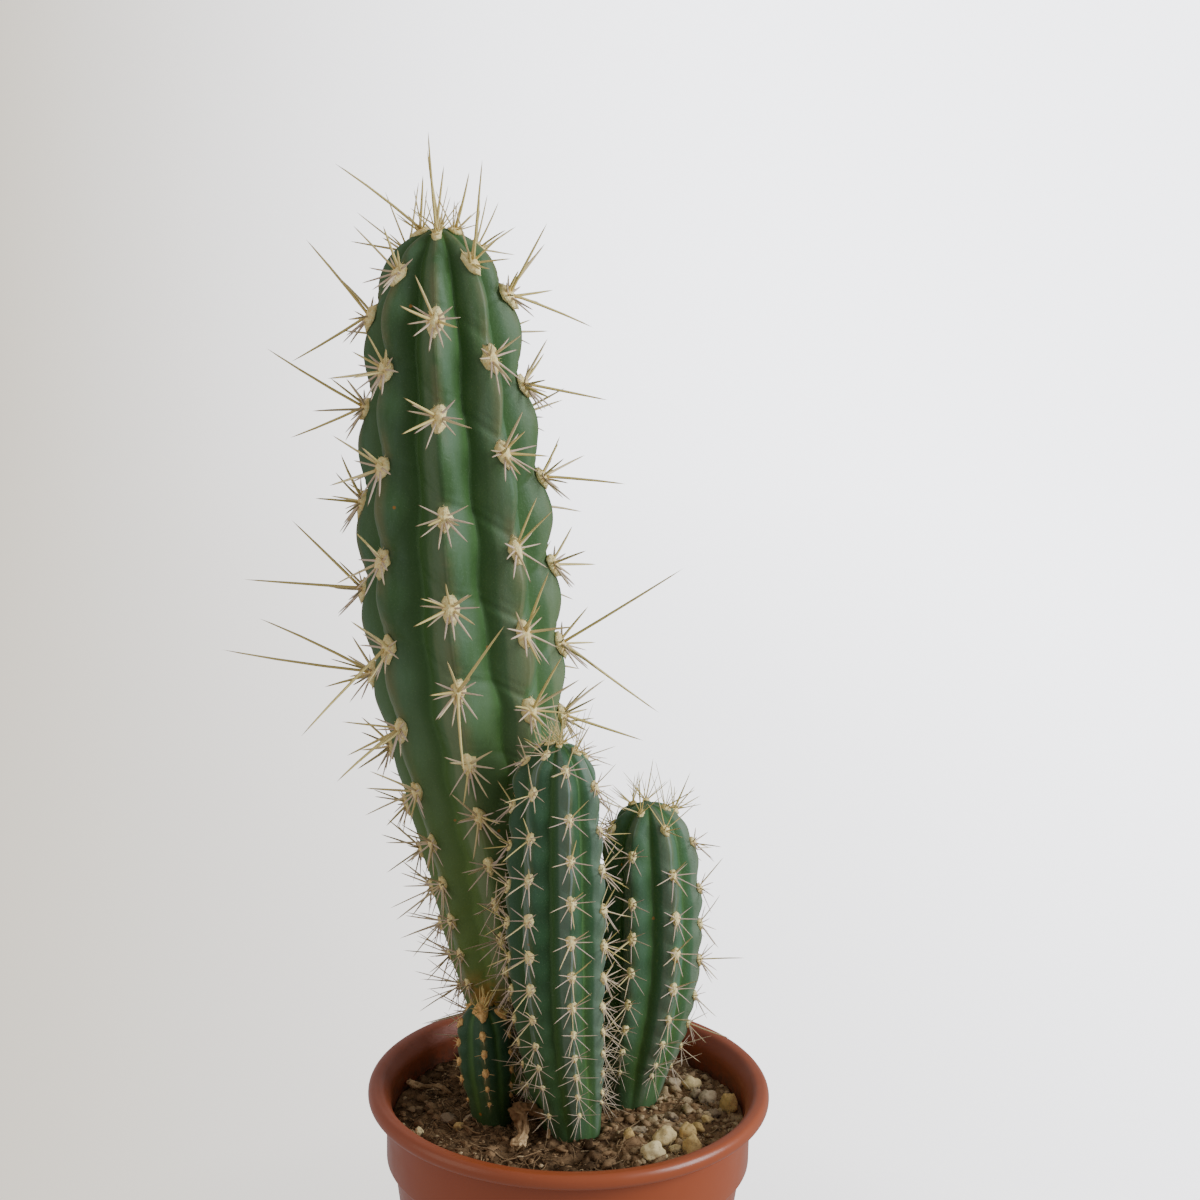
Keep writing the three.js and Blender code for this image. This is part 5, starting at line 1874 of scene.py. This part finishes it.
STEMS = [
    Stem(
        name="stem_main", first_azimuth=-2.0, apex=383.5, crown_height=30.0, rib_depth=0.32,
        stations=np.array([
            (98, -13.3, 17.5, 11.2), (130, -17.6, 17, 17.2), (157, -21.2, 16.5, 21.2),
            (186, -25.3, 15.5, 24.1), (214, -30.4, 14.5, 26.9), (245, -34.6, 12.5, 30.2),
            (275, -37.4, 10.5, 30.3), (300, -39, 8.5, 28.8), (330, -41, 6.5, 25.3),
            (355, -42.3, 5, 22.3), (384, -43.6, 4, 20.5)], float),
        areoles=np.array([5, 34, 62, 92, 120, 147, 172, 191, 208, 222, 235, 247, 258, 268, 277, 292], float),
        phases=np.array([0, 0.45, -0.1, 0.4, -0.1, 0.45, 0.1, -0.45]),
        pad=(2.6, 4.1, 1.9), habit=TALL_HABIT, horn=SpineFinish("tall_spine"),
        # Its paler left shoulders are partly painted light, and its lighter band at mid height is painted
        # light.
        skin=SkinFinish("tall_skin", pale_lit_share=0.6, middle_lit_share=0.42),
        reaching=(
            Reach(0, 0, (2, 3, 19)), Reach(4, 0, (-4, 3, 22)), Reach(6, 0, (1, -2, 16)),
            Reach(2, 0, (4, -3, 17)), Reach(6, 0, (-25, -3, 19)), Reach(6, 1, (-19, 3, 22)),
            Reach(6, 1, (-23, -4, -14)),
            Reach(6, 2, (-29, -3, 18)), Reach(6, 2, (-23, 4, -11)), Reach(6, 4, (-22, 5, 20)),
            Reach(6, 4, (-36, -4, 3)), Reach(6, 5, (-46, -6, 8)), Reach(6, 5, (-36, 6, 15)),
            Reach(7, 5, (-24, -18, -23)), Reach(7, 6, (-18, -10, -14)), Reach(0, 0, (-2, -7, 30)),
            Reach(0, 5, (15, -26, 29)), Reach(0, 5, (3, -16, -21)), Reach(1, 0, (3, -12, 31)),
            Reach(1, 4, (7, -14, 23)), Reach(1, 5, (9, -12, 21)), Reach(2, 1, (11, -4, 22)),
            Reach(2, 1, (25, 2, -10)), Reach(2, 2, (25, -3, -4)), Reach(2, 3, (25, -4, -1)),
            Reach(2, 5, (37, -8, 27)), Reach(2, 5, (31, 4, -24)), Reach(2, 6, (25, -3, -7)),
        ),
        row_step=1.0, columns_per_rib=24, seed=7, shallow=0.12, deep_over=285.0, notch=1.0,
        foot_relief=0.2, sway_share=0.035, furrow_lean=(0.12, 0, 0, 0, 0, 0, 0, 0),
        cork_spot=(-29.0, 1.0, 134.0)),
    Stem(
        name="stem_front", first_azimuth=17.5, apex=232.0, crown_height=16.0, rib_depth=0.27,
        stations=np.array([
            (98, 1.9, -13.6, 8.6), (109, 0.4, -14.8, 11.2), (127, -1.8, -16.2, 13.6),
            (145, -3.3, -17.8, 14.8), (163, -4, -19.3, 15.4), (180, -4.4, -20.8, 15.5),
            (197, -4.8, -21.7, 15), (213, -5.1, -22.4, 13.6), (232, -5.2, -23, 12.6)], float),
        areoles=np.array([2, 12, 27, 40, 53.5, 66, 78, 89, 99, 107.5, 115, 122.5, 129.5]),
        phases=np.array([0, 0.5, 0, 0.45, -0.25, 0, -0.5]),
        pad=(1.6, 2.05, 1.15), habit=SHORT_HABIT,
        horn=SpineFinish("front_spine", cream=(0.600, 0.440, 0.350)),
        # Its crest line is partly a painted highlight, its paler left shoulders are partly painted light and
        # its darker right flanks are partly painted shade.
        skin=SkinFinish("front_skin", flank=(0.038, 0.100, 0.034), bloom=(0.092, 0.166, 0.122),
                        line=(0.360, 0.450, 0.460), line_highlight_share=0.4, line_from=0.965, old_share=0.15,
                        pale=(0.150, 0.205, 0.145), pale_lit_share=0.75, pale_lit_top=0.9, bare_shade_share=0.5),
        seed=8),
    Stem(
        name="stem_right", first_azimuth=-22.0, apex=201.8, crown_height=14.0, rib_depth=0.26,
        stations=np.array([
            (98, 19.6, 10.6, 9), (108, 20.4, 10.4, 11.4), (119, 21.9, 10, 14.2), (133, 23.9, 9.6, 16),
            (147, 25.1, 9.3, 16.6), (162, 25.1, 9, 16.5), (176, 24.7, 8.6, 16), (189, 23.8, 8.3, 14.7),
            (202, 23.3, 8, 13.6)], float),
        areoles=np.array([6, 21, 36.5, 48.5, 60.5, 72, 81.5, 90, 98]),
        phases=np.array([0, 0.45, 0, 0.45, 0, -0.2, -0.4]),
        pad=(1.6, 2.05, 1.15), habit=SHORT_HABIT,
        horn=SpineFinish("right_spine", cream=(0.600, 0.440, 0.350)),
        reaching=(Reach(0, 0, (-1, -3, 15)), Reach(4, 0, (2, 2, 13)), Reach(2, 0, (9, -3, 7)),
                  Reach(2, 4, (14, -3, 2)), Reach(2, 6, (13, -4, -3))),
        # Its crest line is partly a painted highlight, its paler left shoulders are partly painted light and
        # its darker right flanks are partly painted shade.
        skin=SkinFinish("right_skin", flank=(0.048, 0.120, 0.042), bloom=(0.125, 0.210, 0.155),
                        line=(0.330, 0.420, 0.380), line_highlight_share=0.25, line_from=0.965, old_share=0.15,
                        pale=(0.185, 0.215, 0.145), pale_lit_share=0.6, pale_lit_top=0.9, bare_shade_share=0.12),
        seed=9),
    Stem(
        name="stem_pup", first_azimuth=3.0, apex=138.9, crown_height=8.0, rib_depth=0.24,
        stations=np.array([
            (98, -24.3, -7.4, 6), (108, -25.6, -7.8, 7.4), (119, -26.8, -8.4, 8.6), (130, -27.5, -8.8, 8.6),
            (139, -28.4, -9, 7.9)], float),
        areoles=np.array([3.2, 11.8, 18, 24.5, 30.5, 36.5]),
        phases=np.array([0, 0.4, 0, 0.4, -0.3]),
        pad=(1.1, 1.45, 0.9), habit=PUP_HABIT, horn=SpineFinish("pup_spine", cream=(0.600, 0.380, 0.150)),
        skin=SkinFinish("pup_skin", flank=(0.022, 0.066, 0.022), bloom=(0.055, 0.115, 0.070), old_share=0.2),
        wool=Wool.GOLDEN, crown_size=2.2, crown_from=0.9, lowest_length=0.6,
        row_step=0.6, seed=10),
]


# ---------------------------------------------------------------- studio


@dataclass
class Studio:
    """A plain pale floor that curves up into a round backdrop and glows with painted light, soft lights and
    the camera.
    """

    eye: tuple[float, float, float] = (6.89, -771.4, 485.3)
    pitch: float = 15.54
    roll: float = 1.17
    lens: float = 78.0
    sensor: float = 36.0
    # dim, bright and glow: the colours and strength of the backdrop's painted light
    dim: Colour = (0.228, 0.204, 0.160)
    bright: Colour = (0.93, 0.94, 1.0)
    glow: float = 4.5
    lean: float = 0.22
    fades_over: tuple[float, float] = (-0.38, 0.65)
    target: tuple[float, float, float] = (-10.0, 0.0, 210.0)

    def backdrop(self) -> None:
        """Builds the sheet: a flat floor, a quarter circle and an upright wall, turned about Z.

        It only glows, so that no lamp draws an edge on it: all its light is painted. The glow falls off
        towards the left and the front as painted light, and close around the pot, which shades it, ambient
        occlusion darkens it into a painted contact shadow.
        """
        floor, bend, top, sides, under = 1400.0, 500.0, 2600.0, 128, 0.05
        turn = np.linspace(0.0, math.pi / 2, 17)
        flat = floor * np.array([0.02, 0.3, 0.7])
        radius = np.concatenate([flat, floor + bend * np.sin(turn), [floor + bend]])
        height = np.concatenate([0.0 * flat, bend - bend * np.cos(turn), [top]]) - under
        points = np.concatenate([lathe(radius, height, sides), [[0.0, 0.0, -under]]])
        draft = Draft("studio_sheet")
        draft.add(points, ring_quads(len(radius), sides), fan_triangles(len(points) - 1, 0, sides))
        sheet = draft.build()
        sheet.visible_diffuse = False
        sheet.visible_glossy = False
        graph = Graph("studio_glow")
        # Painted light: the glow falls off from right to left and towards the front.
        sideways = graph.add("VectorMath", {0: graph.coordinates}, operation="DOT_PRODUCT")
        sideways.inputs[1].default_value = (1.0, self.lean, 0.0)
        side = graph.mask(sideways.outputs["Value"], *self.fades_over)
        glow = graph.mix(side, self.dim, self.bright)
        # Painted contact shadow: ambient occlusion dims the glow near the pot.
        open_share = graph.add("AmbientOcclusion", {"Distance": 0.16}, samples=8).outputs["AO"]
        graph.feed(graph.shader.inputs["Emission Color"], glow)
        graph.feed(graph.shader.inputs["Emission Strength"], graph.times(open_share, self.glow))
        sheet.data.materials.append(graph.finish((0.0, 0.0, 0.0), 1.0, Specular_IOR_Level=0.0))

    def lamp(self, name: str, at: tuple[float, float, float], power: float, size: float,
             colour: Colour) -> None:
        """Hangs a square area light that faces the target.

        Args:
            name: the light's name.
            at: its place in millimetres.
            power: in watts.
            size: its side in millimetres.
            colour: its colour.
        """
        light = bpy.data.lights.new(name, "AREA")
        light.energy, light.size, light.color = power, size * MM, colour
        holder = bpy.data.objects.new(name, light)
        holder.location = Vector(at) * MM
        holder.rotation_euler = (Vector(self.target) - Vector(at)).to_track_quat("-Z", "Y").to_euler()
        bpy.context.scene.collection.objects.link(holder)

    def lights(self) -> None:
        """Sets a broad soft key on the right, a weak warm fill on the left and a pale world."""
        self.lamp("window", (1250.0, -380.0, 700.0), 25.0, 800.0, (0.86, 0.94, 1.0))
        self.lamp("fill", (-1100.0, -500.0, 400.0), 2.5, 900.0, (1.0, 0.90, 0.76))
        world = bpy.data.worlds.new("room")
        world.use_nodes = True
        sky = world.node_tree.nodes["Background"]
        sky.inputs["Color"].default_value = (0.94, 0.96, 1.0, 1.0)
        sky.inputs["Strength"].default_value = 0.45
        bpy.context.scene.world = world

    def camera(self) -> None:
        """Puts the camera at eye height, looking along +Y, pitched down and rolled about its own axis."""
        pitch, roll = math.radians(self.pitch), math.radians(self.roll)
        ahead = Vector((0.0, math.cos(pitch), -math.sin(pitch)))
        right = Vector((1.0, 0.0, 0.0))
        up = right.cross(ahead)
        tilted_right = right * math.cos(roll) + up * math.sin(roll)
        tilted_up = up * math.cos(roll) - right * math.sin(roll)
        data = bpy.data.cameras.new("camera")
        data.lens, data.sensor_width, data.clip_start, data.clip_end = self.lens, self.sensor, 0.05, 20.0
        camera = bpy.data.objects.new("camera", data)
        turn = Matrix((tilted_right, tilted_up, -ahead)).transposed().to_4x4()
        camera.matrix_world = Matrix.Translation(Vector(self.eye) * MM) @ turn
        bpy.context.scene.collection.objects.link(camera)
        bpy.context.scene.camera = camera

    def make(self) -> None:
        """Sets up the whole studio."""
        self.camera()
        self.backdrop()
        self.lights()


def main() -> None:
    """Builds the studio, the pot, the soil with what lies on it, and the stems."""
    logging.basicConfig(level=logging.INFO, format="%(name)s %(message)s")
    Studio().make()
    pot = Pot()
    pot.make()
    soil = Soil(pot)
    soil.make(STEMS)
    stone, husk = StoneFinish("pebble").dress(), HuskFinish("dry_scrap").dress()
    for number, pebble in enumerate(PEBBLES, start=1):
        pebble.make(f"stone_{number:02d}", number, soil, stone, f"pebble_{number:02d}")
    clay = StoneFinish("clay_lump", light=(0.480, 0.360, 0.220), deep=(0.230, 0.150, 0.085)).dress()
    for number, clod in enumerate(CLODS, start=1):
        clod.make(f"clod_{number:02d}", 20 + number, soil, clay)
    for scrap in SCRAPS:
        scrap.make(soil, husk)
    for stem in STEMS:
        stem.make(STEMS, soil)


if __name__ == "__main__":
    main()
